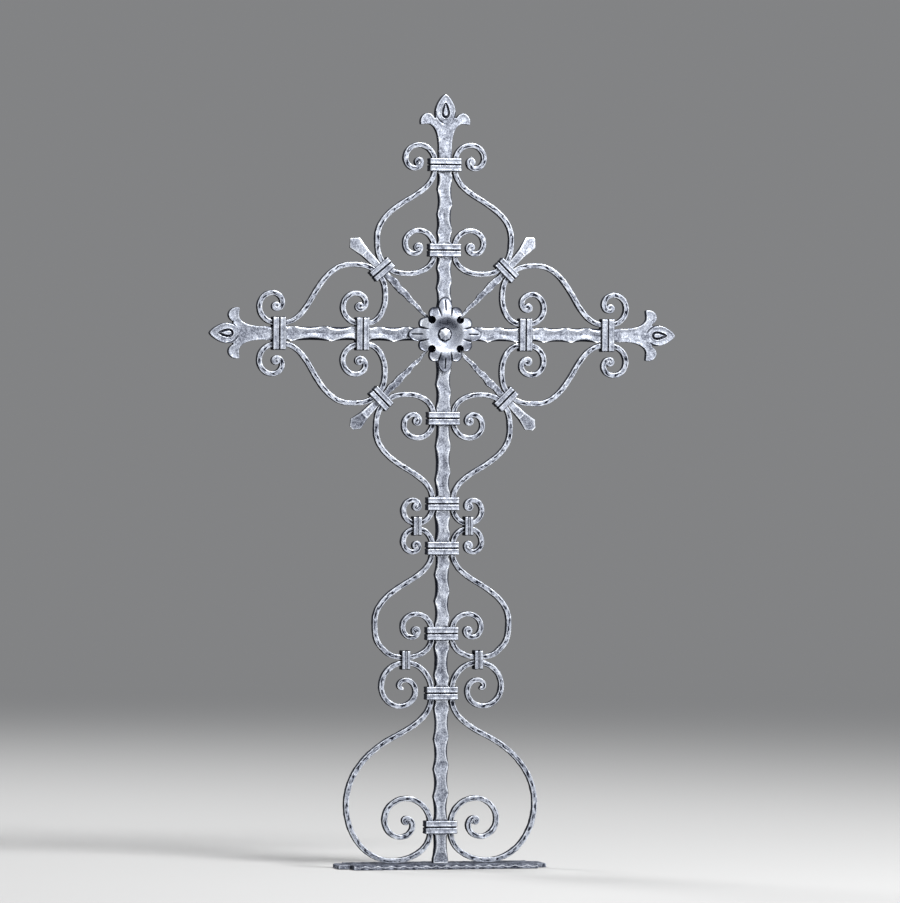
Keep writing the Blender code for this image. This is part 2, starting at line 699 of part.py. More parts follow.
def build_rosette():
    seat = BAR_DEPTH / 2 + GAP
    quarter = list(OUTLINE_STEPS) + [90.0 - step for step in reversed(OUTLINE_STEPS[1:])]
    angles = [radians(turn * 90 + step) for turn in range(4) for step in quarter]
    mesh = bmesh.new()
    for layer in (0, 1):
        rows = []
        for angle in angles:
            reach = petal_reach(angle)
            radii = [PETAL_SEAT, min(RIM_RADIUS, reach * 0.9), reach]
            row = []
            for radius in radii:
                y = -seat - rosette_front(radius) + layer * ROSETTE_SHEET
                row.append(mesh.verts.new((radius * cos(angle), y, HEAD_HEIGHT + radius * sin(angle))))
            rows.append(row)
        middle = mesh.verts.new((0.0, -seat - ROSETTE_SHEET * (1 - layer), HEAD_HEIGHT))
        for i, row in enumerate(rows):
            after = rows[(i + 1) % len(rows)]
            mesh.faces.new((middle, row[0], after[0]))
            for k in range(len(row) - 1):
                mesh.faces.new((row[k], row[k + 1], after[k + 1], after[k]))
        if layer == 0:
            front = rows
    for i in range(len(rows)):
        j = (i + 1) % len(rows)
        mesh.faces.new((front[i][-1], front[j][-1], rows[j][-1], rows[i][-1]))
    finish("rosette", mesh, "rosette")

    base = seat + ROSETTE_SHEET + GAP
    angles = [2 * pi * k / RIVET_SIDES for k in range(RIVET_SIDES)]
    loops = []
    for share, rise in RIVET_LEVELS:
        radius, y = RIVET_RADIUS * share, -base - RIVET_HEIGHT * rise
        loops.append([(radius * cos(angle), y, HEAD_HEIGHT + radius * sin(angle)) for angle in angles])
    mesh = bmesh.new()
    loft(mesh, loops)
    finish("rosette_rivet", mesh, "rosette")


# Base plate


def build_plate():
    """The foot: a stepped plate with a hammered edge."""
    half, deep = PLATE_LENGTH / 2, PLATE_DEPTH / 2
    narrow = TONGUE_DEPTH / 2
    count = 2 * round(PLATE_LENGTH / PLATE_WAVE_PITCH)
    front = []
    for k in range(count + 1):
        inward = PLATE_EDGE_WAVE if k % 2 else 0.0
        front.append((-half + PLATE_LENGTH * k / count, -deep + inward))
    tongue = half + TONGUE_LENGTH
    end = [(half, -narrow), (tongue, -narrow), (tongue, narrow), (half, narrow)]
    outline = front + end
    outline += [(-x, -y) for x, y in outline]
    inner = inset_outline(outline, PLATE_CHAMFER)
    mesh = bmesh.new()
    rows = ((outline, 0.0), (outline, PLATE_THICKNESS - PLATE_CHAMFER), (inner, PLATE_THICKNESS))
    loft(mesh, [[(x, y, z) for x, y in row] for row, z in rows])
    finish("base_plate", mesh, "plate")


def main():
    clear_scene()
    build_bars()
    build_scrolls()
    build_collars()
    build_rays()
    build_rosette()
    build_plate()


main()
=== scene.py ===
"""Dresses the grave cross: hammered bars, rolled scrolls, wrapped collars, a dished rosette, brushed paint.

Straight pieces are modelled upright in bar space and then turned into place: X is across the bar,
Y its depth, with the front at -Y, and Z the distance along it from the crossing. Lengths are in
metres where nothing else is said.
"""

from math import atan2, ceil, cos, hypot, pi, radians, sin, sqrt
from random import Random

import bmesh
import bpy
import numpy as np
from mathutils import Matrix, Vector, noise


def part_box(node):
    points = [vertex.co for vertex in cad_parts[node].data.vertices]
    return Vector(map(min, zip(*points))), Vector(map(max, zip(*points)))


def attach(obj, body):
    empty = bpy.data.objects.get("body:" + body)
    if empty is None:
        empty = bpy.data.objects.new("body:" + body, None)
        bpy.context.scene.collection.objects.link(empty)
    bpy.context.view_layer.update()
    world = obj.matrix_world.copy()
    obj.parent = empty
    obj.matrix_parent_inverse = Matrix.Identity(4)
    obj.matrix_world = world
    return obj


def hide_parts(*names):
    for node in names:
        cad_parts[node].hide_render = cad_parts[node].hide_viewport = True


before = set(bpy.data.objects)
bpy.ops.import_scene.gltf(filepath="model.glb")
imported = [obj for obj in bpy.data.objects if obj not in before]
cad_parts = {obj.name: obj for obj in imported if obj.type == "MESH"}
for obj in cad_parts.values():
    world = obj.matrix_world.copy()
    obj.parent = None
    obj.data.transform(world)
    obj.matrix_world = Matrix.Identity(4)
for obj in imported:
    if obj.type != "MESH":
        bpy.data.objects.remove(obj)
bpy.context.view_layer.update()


def middle_of(node):
    low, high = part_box(node)
    return (low + high) / 2


def size_of(node):
    low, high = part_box(node)
    return high - low


# Places and sizes read from the frame
HEAD = middle_of("rosette").z
INNER_COLLAR = middle_of("collar_top_inner").z - HEAD
OUTER_COLLAR = middle_of("collar_top_outer").z - HEAD
MIDDLE_HIGH = middle_of("collar_middle_upper").z
MIDDLE_LOW = middle_of("collar_middle_lower").z
BASE_HIGH = middle_of("collar_base_upper").z
BASE_LOW = middle_of("collar_base_lower").z
COLLAR_SIZE = size_of("collar_top_inner")
TIE_SIZE = size_of("tie_upper_left")
PLATE_THICKNESS = size_of("base_plate").z
TIP = size_of("arm_right").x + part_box("arm_right")[0].x

# Flat bars
GAP = 0.0003
BAR_WIDTH = 0.025
BAR_DEPTH = 0.014
DENT_DEPTH = 0.0022
DENT_CHAMFER = 0.0042
ARRIS = 0.0011
FACE_HOLLOW = 0.0015
RIDGE_REACH = 0.0056
NECK_WIDTH = 0.0215

# Finial
LEAF_DEPTH = 0.012
LEAF_SPAN = 0.082
LEAF_STEM = 0.042
LEAF_FLARE = 0.018
LOBE_WIDTH = 0.024
LOBE_RISE = 0.0137
LOBE_LIFT = 0.0035
LENS_DEPTH = 0.0135
LENS_LENGTH = 0.048
LENS_WIDTH = 0.033
LENS_ROOT = 0.006
TEAR_LENGTH = 0.024
TEAR_WIDTH = 0.0135
TEAR_FROM_TIP = 0.0384
TEAR_GROOVE = 0.0030
TEAR_SINK = 0.0002
FINIAL_RIM = 0.0004
FINIAL_VOXEL = 0.00065
LEAF_HOLLOW = 0.0005
LENS_HOLLOW = 0.0006
NECK_HOLLOW = 0.0020
CREASE_DEPTH = 0.0016
CREASE_WIDTH = 0.0010

# Scroll bars and the knots of their centre lines: U is out from the bar's middle, V along the bar
SCROLL_WIDTH = 0.008
SCROLL_END_WIDTH = 0.0066
FULL_WIDTH = 0.0086
FULL_DEPTH = 0.0124
SCROLL_BEVEL = 0.0010
DRAWN_END = 0.040
FLECK_STRETCH = 0.33
GRIP = 0.0045
RUN_GRIP = 0.0065
RAY_GRIP = 0.005
WAIST_U = 0.061
WAIST_V = 0.080
WAIST_TURN = radians(60)
BELLY_U = 0.1105
BELLY_V = 0.0195
FOOT_U = 0.059
FOOT_V = -0.0380
CURL_FIRST_RADIUS = 0.0283
CURL_SHRINK_SWEEP = radians(402)
SHRINK_EASE = 1.15
EYE_RADIUS = 0.0040
EYE_SWEEP = radians(93)
EYE_ROLL = radians(190)
EYE_END_RADIUS = 0.0021
EYE_TAPER = 0.6
BASE_WAIST_U = 0.080
BASE_WAIST_DROP = 0.0709
BASE_WAIST_TURN = radians(63)
BASE_BELLY_U = 0.1555
BASE_BELLY_V = 0.102
BASE_FOOT_U = 0.078
BASE_UPPER_RADIUS = 0.0463
BASE_UPPER_SHRINK_SWEEP = radians(562)
BASE_UPPER_ROLL = radians(20)
BASE_LOWER_RADIUS = 0.0436
BASE_LOWER_SHRINK_SWEEP = radians(480)
GRIP_U = BAR_WIDTH / 2 + GAP + SCROLL_WIDTH / 2

# Rays
RAY_TIP = 0.031
RAY_COLLAR = INNER_COLLAR + 0.0113
RAY_SWELL = RAY_COLLAR - 0.0347
RAY_SHOULDER = RAY_COLLAR + 0.0608
RAY_END = RAY_COLLAR + 0.0703
RAY_CREASE = RAY_COLLAR + 0.0385
RAY_WIDTH = 0.0104
RAY_POINT = 0.0044
RAY_BEVEL = 0.0011
RAY_COLLAR_LENGTH = 0.019
UPPER_LEFT_LEAN = radians(40)

# How much shorter each ray's end is, how far it leans across, and how dull it is
RAY_ENDS = {
    ("upper", "left"): (0.0, -0.02, 0.0),
    ("upper", "right"): (0.001, -0.055, 0.0),
    ("lower", "left"): (0.0035, 0.0, 0.22),
    ("lower", "right"): (0.0028, 0.0, 0.08),
}

# Collars and ties
COLLAR_WALL = 0.0034
COLLAR_GROOVE = 0.0026
RAY_COLLAR_WALL = 0.0056
RAY_COLLAR_EXTRA = 0.005
TIE_WALL = 0.0045
TIE_GROOVE = 0.0018
TIE_BEADS = (0.42, 0.16, 0.42)
GROOVE_WIDTH = 0.0010
BEAD_HOLLOW = 0.0005
BAND_CORNER = 0.0026

# Rosette
ROSETTE_SHEET = 0.0024
ROSETTE_GAUGE = 0.0016
ROSETTE_RISE = 0.0100
ROSETTE_RINGS = 44
ROSETTE_SPOKES = 336
LONG_PETAL = 0.060
SHEET_RADIUS = 0.0370
SHORT_PETAL_TURN = radians(27)
SHEET_PLAIN_RADIUS = 0.020
SHEET_PLAIN_SHARE = 0.30
RIVET_RADIUS = 0.0100
RIVET_HEIGHT = 0.0065
PETAL_SEAT = 0.011
RIM_RADIUS = 0.030
PETAL_SPLIT = radians(15.2)
PETAL_GROOVE = 0.0017
SPLIT_DEPTH = 0.0026
SPLIT_WIDTH = 0.0011
POCKET_PLACE = 0.0232
POCKET_RADIUS = 0.0058

# Each petal's round end: how far out its middle is, half its length and half its width
LONG_PETAL_END = (0.0420, 0.0180, 0.0112)
SHORT_PETAL_END = (0.0360, 0.0118, 0.0104)

# Painted light and shade: how much lighter or darker each petal is by how it faces the light, from the right
# long
# petal round to the left: the short one before a long one, the long one and the short one after it
PETAL_LIGHT_AND_SHADE = (
    (-0.16, 0.00, 0.10),
    (-0.20, 0.00, -0.20),
    (0.10, 0.00, -0.08),
    (0.06, -0.08, 0.00),
)

# Foot plate
PLATE_LENGTH = 0.302
PLATE_DEPTH = 0.090
TONGUE_LENGTH = 0.020
TONGUE_DEPTH = 0.042
TONGUE_STEPS = 7
EDGE_WAVE = 0.0185

# How near two places are to count as one, and how fine the meshes are
TOUCH = 0.00001
STEP = 0.002
FINE_STEP = STEP * 0.7
SPIRAL_STEP = 0.0005
BAND_STEP = 0.00065
PLATE_STEP = 0.0018

# Pitch and depth of the hammer marks on each kind of piece
HAMMER_MARKS = {
    "bar": (0.012, 0.00028),
    "finial": (0.009, 0.00012),
    "scroll": (0.0095, 0.00055),
    "collar": (0.008, 0.00020),
    "ray": (0.0085, 0.0009),
    "rosette": (0.010, 0.00012),
    "rivet": (0.005, 0.00004),
    "plate": (0.013, 0.0003),
}

# Turns a hammer mark's place into a tone of its own
CELL_SHUFFLE = (127.1, 311.7, 74.7)

# How strongly a sharp edge shows in the paint, and how bright the surround is
ARRIS_GAIN = 0.0030
SURROUND = 0.28


# Modelling helpers


def add(name, operator, **settings):
    """Adds a primitive and leaves it as the one selected object."""
    bpy.ops.object.select_all(action="DESELECT")
    operator(**settings)
    piece = bpy.context.object
    piece.name = name
    piece.data.name = name
    return piece


def add_box(name, low, high):
    """Adds a box between two corners."""
    low, high = Vector(low), Vector(high)
    return add(name, bpy.ops.mesh.primitive_cube_add, size=1, location=(low + high) / 2, scale=high - low)


def select_only(*pieces):
    bpy.ops.object.select_all(action="DESELECT")
    for piece in pieces:
        piece.select_set(True)
    bpy.context.view_layer.objects.active = pieces[0]


def settle(piece):
    """Puts a piece's place, turn and size into its mesh."""
    select_only(piece)
    bpy.ops.object.transform_apply(location=True, rotation=True, scale=True)


def edit(piece, kind="EDGE"):
    """Opens a piece's mesh with nothing selected."""
    select_only(piece)
    bpy.ops.object.mode_set(mode="EDIT")
    bpy.ops.mesh.select_mode(type=kind)
    bpy.ops.mesh.select_all(action="DESELECT")


def close():
    bpy.ops.object.mode_set(mode="OBJECT")


def choose_all():
    bpy.ops.mesh.select_all(action="SELECT")


def choose(piece, parts, test):
    """In edit mode, selects the edges or faces that pass a test."""
    bpy.ops.mesh.select_all(action="DESELECT")
    mesh = bmesh.from_edit_mesh(piece.data)
    for part in getattr(mesh, parts):
        if test(part):
            part.select_set(True)
    bmesh.update_edit_mesh(piece.data)


def runs_along(axis):
    """A test for edges that run along an axis, 0 to 2."""
    def test(edge):
        run = edge.verts[1].co - edge.verts[0].co
        return abs(run[axis]) > 0.99 * run.length
    return test


def slice_along(piece, axis, step):
    """Cuts all edges that run along an axis into equal parts of about one step."""
    longest = 0.0
    for edge in bmesh.from_edit_mesh(piece.data).edges:
        longest = max(longest, abs(edge.verts[1].co[axis] - edge.verts[0].co[axis]))
    count = ceil(longest / step)
    passes = 1 if count <= 50 else 2
    parts = ceil(count ** (1 / passes))
    for _ in range(passes):
        choose(piece, "edges", runs_along(axis))
        bpy.ops.mesh.subdivide(number_cuts=parts - 1)


def extrude(move=(0, 0, 0)):
    bpy.ops.mesh.extrude_region_move(TRANSFORM_OT_translate={"value": move})


def bevel_edges(piece, test, width, segments):
    """In edit mode, rounds the edges that pass a test."""
    choose(piece, "edges", test)
    bpy.ops.mesh.bevel(offset=width, segments=segments, affect="EDGES")


def apply_modifier(piece, kind, **settings):
    select_only(piece)
    modifier = piece.modifiers.new(kind.lower(), kind)
    for key, value in settings.items():
        setattr(modifier, key, value)
    bpy.ops.object.modifier_apply(modifier=modifier.name)


def throw_away(*pieces):
    for piece in pieces:
        bpy.data.objects.remove(piece, do_unlink=True)


def join_on(piece, other):
    """Makes another piece one with a piece."""
    apply_modifier(piece, "BOOLEAN", object=other, operation="UNION", solver="EXACT")
    throw_away(other)


def face_outwards(piece):
    """Merges doubles and turns every face outwards."""
    edit(piece, "VERT")
    choose_all()
    bpy.ops.mesh.remove_doubles(threshold=TOUCH)
    bpy.ops.mesh.normals_make_consistent(inside=False)
    close()


def read(rows, field, width):
    """A field of some rows of mesh data, as an array."""
    values = np.empty(len(rows) * width)
    rows.foreach_get(field, values)
    return values.reshape(-1, width)


def points_of(piece):
    return read(piece.data.vertices, "co", 3)


def normals_of(piece):
    return read(piece.data.vertices, "normal", 3)


def stored(piece, name):
    """The value that each vertex of a piece keeps under a name."""
    return read(piece.data.attributes[name].data, "value", 1)[:, 0]


def store(piece, name, values, kind="FLOAT"):
    """Keeps a value or a place for each vertex under a name, for the paint."""
    layer = piece.data.attributes.get(name) or piece.data.attributes.new(name, kind, "POINT")
    field = "vector" if kind == "FLOAT_VECTOR" else "value"
    layer.data.foreach_set(field, np.asarray(values, np.float32).ravel())


def move_points(piece, points):
    piece.data.vertices.foreach_set("co", np.asarray(points, np.float64).ravel())
    piece.data.update()


def hammer(piece, kind, seed, rough=0.3):
    """Beats shallow dishes into a piece, one in each cell of a Voronoi pattern, and a fine roughness.

    Each dish also gets a tone of its own, for the paint.
    """
    pitch, depth = HAMMER_MARKS[kind]
    shift = Vector((seed * 1.37, seed * 2.11, seed * 0.73))
    points, normals = points_of(piece), normals_of(piece)
    sink = np.empty(len(points))
    tone = np.empty(len(points))
    for i, point in enumerate(points):
        here = Vector(point)
        distances, cells = noise.voronoi(here / pitch + shift)
        grain = noise.noise(here / (pitch * 0.28) + shift)
        sink[i] = 1 - min(1.0, distances[0] ** 2 * 1.7) + rough * (0.5 + 0.5 * grain)
        tone[i] = sin(cells[0].dot(CELL_SHUFFLE)) * 0.5 + 0.5
    move_points(piece, points - normals * (sink * depth)[:, None])
    store(piece, "tone", tone)


def edge_mean(size, first, second, at_first, at_second):
    """The mean, at each vertex, of what its edges bring to their two ends."""
    total, count = np.zeros(size), np.zeros(size)
    for ends, values in ((first, at_first), (second, at_second)):
        np.add.at(total, ends, values)
        np.add.at(count, ends, 1)
    return total / np.maximum(count, 1)


def mark_arrises(piece, rounds=1, gain=1.0, shade=0.0, shine=0.0):
    """Stores where a surface is sharp or hollow, for the paint: 0.5 is flat, 1 an arris, 0 a groove.

    Shade and shine are shares, 0 to 1, by which vertices are made darker or at least as bright.
    """
    points, normals = points_of(piece), normals_of(piece)
    size = len(points)
    edges = np.empty(len(piece.data.edges) * 2, np.int64)
    piece.data.edges.foreach_get("vertices", edges)
    first, second = edges.reshape(-1, 2).T
    run = points[second] - points[first]
    length = np.maximum(np.linalg.norm(run, axis=1), 1e-9)
    run = run / length[:, None]
    at_first, at_second = -(run * normals[first]).sum(1), (run * normals[second]).sum(1)
    value = edge_mean(size, first, second, at_first, at_second)
    value = value / (0.0004 + edge_mean(size, first, second, length, length))
    for _ in range(rounds):
        value = 0.5 * value + 0.5 * edge_mean(size, first, second, value[second], value[first])
    value = np.clip(0.5 + value * ARRIS_GAIN * gain, 0, 1)
    store(piece, "arris", np.maximum(value, shine) * (1 - shade))


def smooth_step(low, high, value):
    share = np.clip((value - low) / (high - low), 0, 1)
    return share * share * (3 - 2 * share)


def squeeze(size, inner, border, new_inner, new_border):
    """Moves distances from a middle line: the inner part to its new size, and the border beside it."""
    over = size - inner
    return np.where(over < 0, size / inner * new_inner, new_inner + over / border * new_border)


def stand(piece, direction, centre=(0.0, 0.0)):
    """Turns a piece from bar space to run along an (x, z) direction from a centre."""
    piece.rotation_euler = (0, atan2(direction[0], direction[1]), 0)
    piece.location = (centre[0], 0, centre[1])
    settle(piece)


def copy_of(piece, name):
    """A copy with its own mesh."""
    other = piece.copy()
    other.data = piece.data.copy()
    other.name = name
    other.data.name = name
    bpy.context.scene.collection.objects.link(other)
    return other


def fit(piece, material, slot, *nodes, smooth_under=50):
    """Paints a finished piece and lets it stand for its CAD nodes."""
    piece.data.materials.clear()
    piece.data.materials.append(material)
    select_only(piece)
    bpy.ops.object.shade_smooth_by_angle(angle=radians(smooth_under))
    if "arris" not in piece.data.attributes:
        mark_arrises(piece)
    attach(piece, "root")
    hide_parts(*nodes)


# Shader arithmetic


def sign(operation, reflected=False):
    """A Math node as an operator; reflected, the number is its second value."""
    def act(self, other):
        return self.math(operation, other, self) if reflected else self.math(operation, self, other)
    return act


class Number:
    """A value that varies over a surface; arithmetic on it adds Math nodes to its paint."""

    __add__, __radd__ = sign("ADD"), sign("ADD", reflected=True)
    __sub__, __rsub__ = sign("SUBTRACT"), sign("SUBTRACT", reflected=True)
    __mul__, __rmul__ = sign("MULTIPLY"), sign("MULTIPLY", reflected=True)

    def __init__(self, paint, socket):
        self.paint = paint
        self.socket = socket

    def math(self, operation, *values):
        made = self.paint.node("ShaderNodeMath", {"operation": operation}, dict(enumerate(values)))
        return Number(self.paint, made.outputs[0])

    def step(self, low, high):
        """A smooth change from 0 at low to 1 at high."""
        made = self.paint.node(
            "ShaderNodeMapRange",
            {"interpolation_type": "SMOOTHSTEP"},
            {"Value": self, "From Min": low, "From Max": high},
        )
        return Number(self.paint, made.outputs[0])


class Paint:
    """A material under construction: node() adds any node, with its settings and its sockets' values."""

    def __init__(self, name):
        self.material = bpy.data.materials.new(name)
        self.material.use_nodes = True
        self.tree = self.material.node_tree
        self.tree.nodes.clear()
        self.place = self.number("ShaderNodeTexCoord", {}, {}, "Object")

    def node(self, kind, settings, sockets):
        made = self.tree.nodes.new(kind)
        for key, value in settings.items():
            if key == "stops":
                self.set_stops(made.color_ramp, value)
            else:
                setattr(made, key, value)
        for key, value in sockets.items():
            if isinstance(value, Number):
                self.tree.links.new(value.socket, made.inputs[key])
            else:
                made.inputs[key].default_value = value
        return made

    def set_stops(self, ramp, stops):
        for _ in stops[2:]:
            ramp.elements.new(0.5)
        for element, (place, colour) in zip(ramp.elements, stops):
            element.position = place
            element.color = colour

    def number(self, kind, settings, sockets, output=0):
        return Number(self, self.node(kind, settings, sockets).outputs[output])

    def noise(self, size, detail=2.0, roughness=0.5, place=None):
        """Cloudy noise whose patches are about size metres across."""
        where = place or self.place
        sockets = {"Vector": where, "Scale": 1 / size, "Detail": detail, "Roughness": roughness}
        return self.number("ShaderNodeTexNoise", {}, sockets)

    def part(self, vector, axis):
        """One coordinate of a vector, 0 to 2."""
        return self.number("ShaderNodeSeparateXYZ", {}, {0: vector}, axis)

    def attribute(self, name, output="Fac"):
        return self.number("ShaderNodeAttribute", {"attribute_name": name}, {}, output)

    def finish(self, sockets):
        shader = self.node("ShaderNodeBsdfPrincipled", {}, sockets)
        output = self.node("ShaderNodeOutputMaterial", {}, {})
        self.tree.links.new(shader.outputs[0], output.inputs[0])
        return self.material


GRAPHITE_TO_SILVER = (
    (0.00, (0.006, 0.007, 0.012, 1)),
    (0.28, (0.028, 0.032, 0.046, 1)),
    (0.46, (0.155, 0.168, 0.208, 1)),
    (0.64, (0.380, 0.408, 0.475, 1)),
    (0.82, (0.660, 0.695, 0.765, 1)),
    (1.00, (0.920, 0.940, 0.970, 1)),
)


def brushed_iron(name, cover, blotch, clouds=0.35, grain=0.5, dark_spots=0.0, sides=0.46, edges=1.3,
                 under=0.25, front_from=0.60, front_to=0.96, rolled=False):
    """Graphite paint with silver brushed over it: full on arrises, speckled on flats, none in grooves. Side
    faces get less silver, partly as painted shade, and under paints shade on faces that look down.

    Cover is how far the silver hides the graphite, blotch the size of its patches in metres.
    """
    paint = Paint(name)
    along_bar = paint.attribute("bar_place", "Vector") if rolled else None
    patches = paint.noise(blotch)
    specks = paint.noise(0.0022, roughness=0.6)
    spots = paint.noise(0.0030 if rolled else 0.0050, detail=1.0, place=along_bar)
    arris = paint.attribute("arris")
    tone = paint.attribute("tone")
    normal = paint.number("ShaderNodeNewGeometry", {}, {}, "Normal")
    facing = paint.part(normal, 1)
    front = facing.math("ABSOLUTE", facing).step(front_from, front_to)
    # Painted shade: faces that look down are darkened by under, as if lit from above
    below = (0.0 - paint.part(normal, 2)).step(0.0, 0.7)
    silver_and_painted_shade = cover + (patches - 0.5) * clouds + (specks - 0.5) * grain + (tone - 0.5) * 0.10
    # Side faces get less silver, partly as brushing that reaches them less and partly as painted shade
    silver_and_painted_shade = silver_and_painted_shade + (arris - 0.5) * edges * (front * 0.75 + 0.25) - (1.0 - front) * sides
    silver_and_painted_shade = silver_and_painted_shade - below * under
    if rolled:
        offset = paint.part(along_bar, 2)
        middle = 1.0 - offset.math("ABSOLUTE", offset).step(0.0012, 0.0034)
    else:
        middle = 1.0 - arris.step(0.50, 0.70)
    silver_and_painted_shade = silver_and_painted_shade - spots.step(0.50, 0.62) * middle * dark_spots
    colour = paint.number("ShaderNodeValToRGB", {"stops": GRAPHITE_TO_SILVER}, {0: silver_and_painted_shade})
    silver = silver_and_painted_shade.step(0.25, 0.75)
    height = specks * 0.55 + patches * 0.45
    bump = paint.number(
        "ShaderNodeBump", {}, {"Strength": 0.40, "Distance": 0.0008, "Height": height}
    )
    return paint.finish({
        "Base Color": colour,
        "Metallic": silver * 0.55,
        "Roughness": 0.60 - silver * 0.22,
        "IOR": 1.08,
        "Normal": bump,
    })


BAR_PAINT = brushed_iron("brushed_bar_iron", 0.57, 0.015, clouds=0.34, grain=0.75, edges=1.2)
SCROLL_PAINT = brushed_iron(
    "brushed_scroll_iron", 0.58, 0.007, clouds=0.30, grain=0.45, dark_spots=0.55, edges=1.2, rolled=True
)
COLLAR_PAINT = brushed_iron("brushed_collar_iron", 0.60, 0.009, clouds=0.40, grain=0.60, sides=0.50)
# The rosette's under paints shade on faces that look down, darkest on the dish's upper half
ROSETTE_PAINT = brushed_iron(
    "brushed_rosette_iron", 0.64, 0.012, clouds=0.24, under=0.24, front_from=0.2, front_to=0.7
)
RIVET_PAINT = brushed_iron(
    "brushed_rivet_iron", 0.70, 0.006, clouds=0.30, grain=0.30, front_from=0.2, front_to=0.7
)
PLATE_PAINT = brushed_iron(
    "brushed_plate_iron", 0.44, 0.009, clouds=0.50, dark_spots=0.10, sides=0.05, under=0.0
)


# Hammered bars


# Places of the points between the hammer dents along each edge, from the crossing, in millimetres
UPRIGHT_LEFT = (
    -840, -790, -740, -696, -648, -599, -545, -500, -467, -427, -385, -336, -290, -233, -179, -118, -80, -40,
    0, 40, 74, 106, 140, 162, 192, 232, 262,
)
UPRIGHT_RIGHT = (
    -840, -784, -734, -689, -643, -597, -550, -500, -452, -411, -366, -320, -290, -256, -220, -180, -121, -93,
    -54, 0, 52, 86, 121, 167, 208, 250, 275,
)
LEFT_ARM_TOP = (20, 62, 107, 150, 196, 250, 290)
LEFT_ARM_BOTTOM = (30, 82, 132, 184, 250, 290)
RIGHT_ARM_TOP = (20, 56, 88, 128, 161, 201, 236, 275)
RIGHT_ARM_BOTTOM = (30, 72, 120, 166, 211, 254, 290)


def dent_profile(along, cusps, flats, seed):
    """How deep the dents of one edge are at places along it, 0 to about 1, with sharp points between."""
    rng = Random(seed)
    dent = np.zeros(len(along))
    for low, high in zip(cusps, cusps[1:]):
        low, high = low / 1000, high / 1000
        share = np.clip((along - low) / (high - low), 0, 1)
        strength = rng.uniform(0.8, 1.15) * min(1.0, (high - low) / 0.042)
        dent = np.maximum(dent, strength * (1 - (2 * share - 1) ** 2))
    for low, high in flats:
        dent *= 1 - smooth_step(0.003, -0.001, np.abs(along - (low + high) / 2) - (high - low) / 2)
    return dent


def hollow_arrises(piece, edges, flats, seed):
    """Moves the long edges of a bar inwards at its dents, widens their chamfers, and hollows its faces."""
    points = points_of(piece)
    across, deep, along = points.T.copy()
    width, depth = np.abs(across), np.abs(deep)
    half, thick = BAR_WIDTH / 2, BAR_DEPTH / 2
    on_face = (depth > thick - 1e-6) & (width - (half - ARRIS) < 1e-6)
    for face in (-1, 1):
        for side, cusps in zip((-1, 1), edges):
            here = (np.sign(across) * side >= 0) & (np.sign(deep) * face >= 0)
            dent = dent_profile(along, cusps, flats, seed + side * 7 + face * (face > 0))
            chamfer = ARRIS + (DENT_CHAMFER - ARRIS) * dent
            flat = half - DENT_DEPTH * dent - chamfer
            new_across = squeeze(width, half - ARRIS, ARRIS, flat, chamfer)
            new_deep = squeeze(depth, thick - ARRIS, ARRIS, thick - chamfer, chamfer)
            ridge = dent * np.exp(-(np.clip(flat - new_across, 0, 1) / RIDGE_REACH) ** 2)
            new_deep -= np.where(on_face, FACE_HOLLOW * (1 - np.clip(ridge, 0, 1)), 0)
            points[here, 0] = new_across[here] * side
            points[here, 1] = new_deep[here] * face
    move_points(piece, points)


def hammered_bar(name, start, end, edges, flats, seed):
    """A flat bar in bar space, with dents along its two edges."""
    half, deep = BAR_WIDTH / 2, BAR_DEPTH / 2
    bar = add_box(name, (-half, -deep, start), (half, deep, end))
    settle(bar)
    edit(bar)
    choose(bar, "edges", runs_along(2))
    bpy.ops.mesh.bevel(offset=ARRIS, segments=2, profile=0.3, affect="EDGES")
    slice_along(bar, 2, STEP * 0.8)
    slice_along(bar, 0, STEP * 0.8)
    slice_along(bar, 1, STEP)
    close()
    across, depth, _ = np.abs(points_of(bar)).T
    rim = (across > half - ARRIS - TOUCH) & (depth > deep - TOUCH)
    hollow_arrises(bar, edges, flats, seed)
    hammer(bar, "bar", seed)
    mark_arrises(bar, gain=0.8, shine=rim * 0.74)
    return bar


def leaf_outline(leaf_line, low, steps=16):
    """Right half of the leaves: the neck, a stem that flares in a quarter ellipse, and a round lobe."""
    root = NECK_WIDTH / 2
    points = [(0.0, low), (root, low)]
    for k in range(steps + 1):
        angle = pi / 2 * k / steps
        flare = LEAF_FLARE * (1 - cos(angle)) ** 1.2
        points.append((root + flare, leaf_line - LEAF_STEM * (1 - sin(angle))))
    centre = (LEAF_SPAN - LOBE_WIDTH) / 2
    start, sweep = radians(-20), radians(175)
    for k in range(steps + 1):
        angle = start + sweep * k / steps
        rise = LOBE_LIFT + LOBE_RISE * sin(angle)
        points.append((centre + LOBE_WIDTH / 2 * cos(angle), leaf_line + rise))
    points.append((0.0, points[-1][1]))
    return points


def lens_outline(low, tip, steps=24):
    """Right half of the lens between the leaves."""
    points = [(0.0, low)]
    for k in range(1, steps):
        share = k / steps
        half = LENS_WIDTH / 2 * sin(pi * share ** 0.86) ** 0.72
        points.append((half, low + (tip - low) * share))
    points.append((0.0, tip))
    return points


def tear_outline(tip, steps=40):
    """A drop that points along the bar."""
    points = []
    for k in range(steps):
        angle = 2 * pi * k / steps
        reach = (1 - cos(angle)) / 2
        across = TEAR_WIDTH / 2 * sin(angle) * (1.25 - 0.75 * reach)
        points.append((across, tip - TEAR_FROM_TIP + TEAR_LENGTH * reach))
    return points


def mirrored(half):
    return half + [(-a, s) for a, s in reversed(half[1:-1])]


def cut_out(name, outline, depth):
    """A flat piece sawn to an outline in bar space, with rounded rims."""
    piece = add(name, bpy.ops.mesh.primitive_circle_add, vertices=len(outline), fill_type="NGON")
    move_points(piece, [(a, -depth / 2, s) for a, s in outline])
    edit(piece, "FACE")
    choose_all()
    extrude((0, depth, 0))
    bevel_edges(piece, lambda edge: abs(edge.verts[0].co.y - edge.verts[1].co.y) < 1e-6, FINIAL_RIM, 2)
    close()
    face_outwards(piece)
    return piece


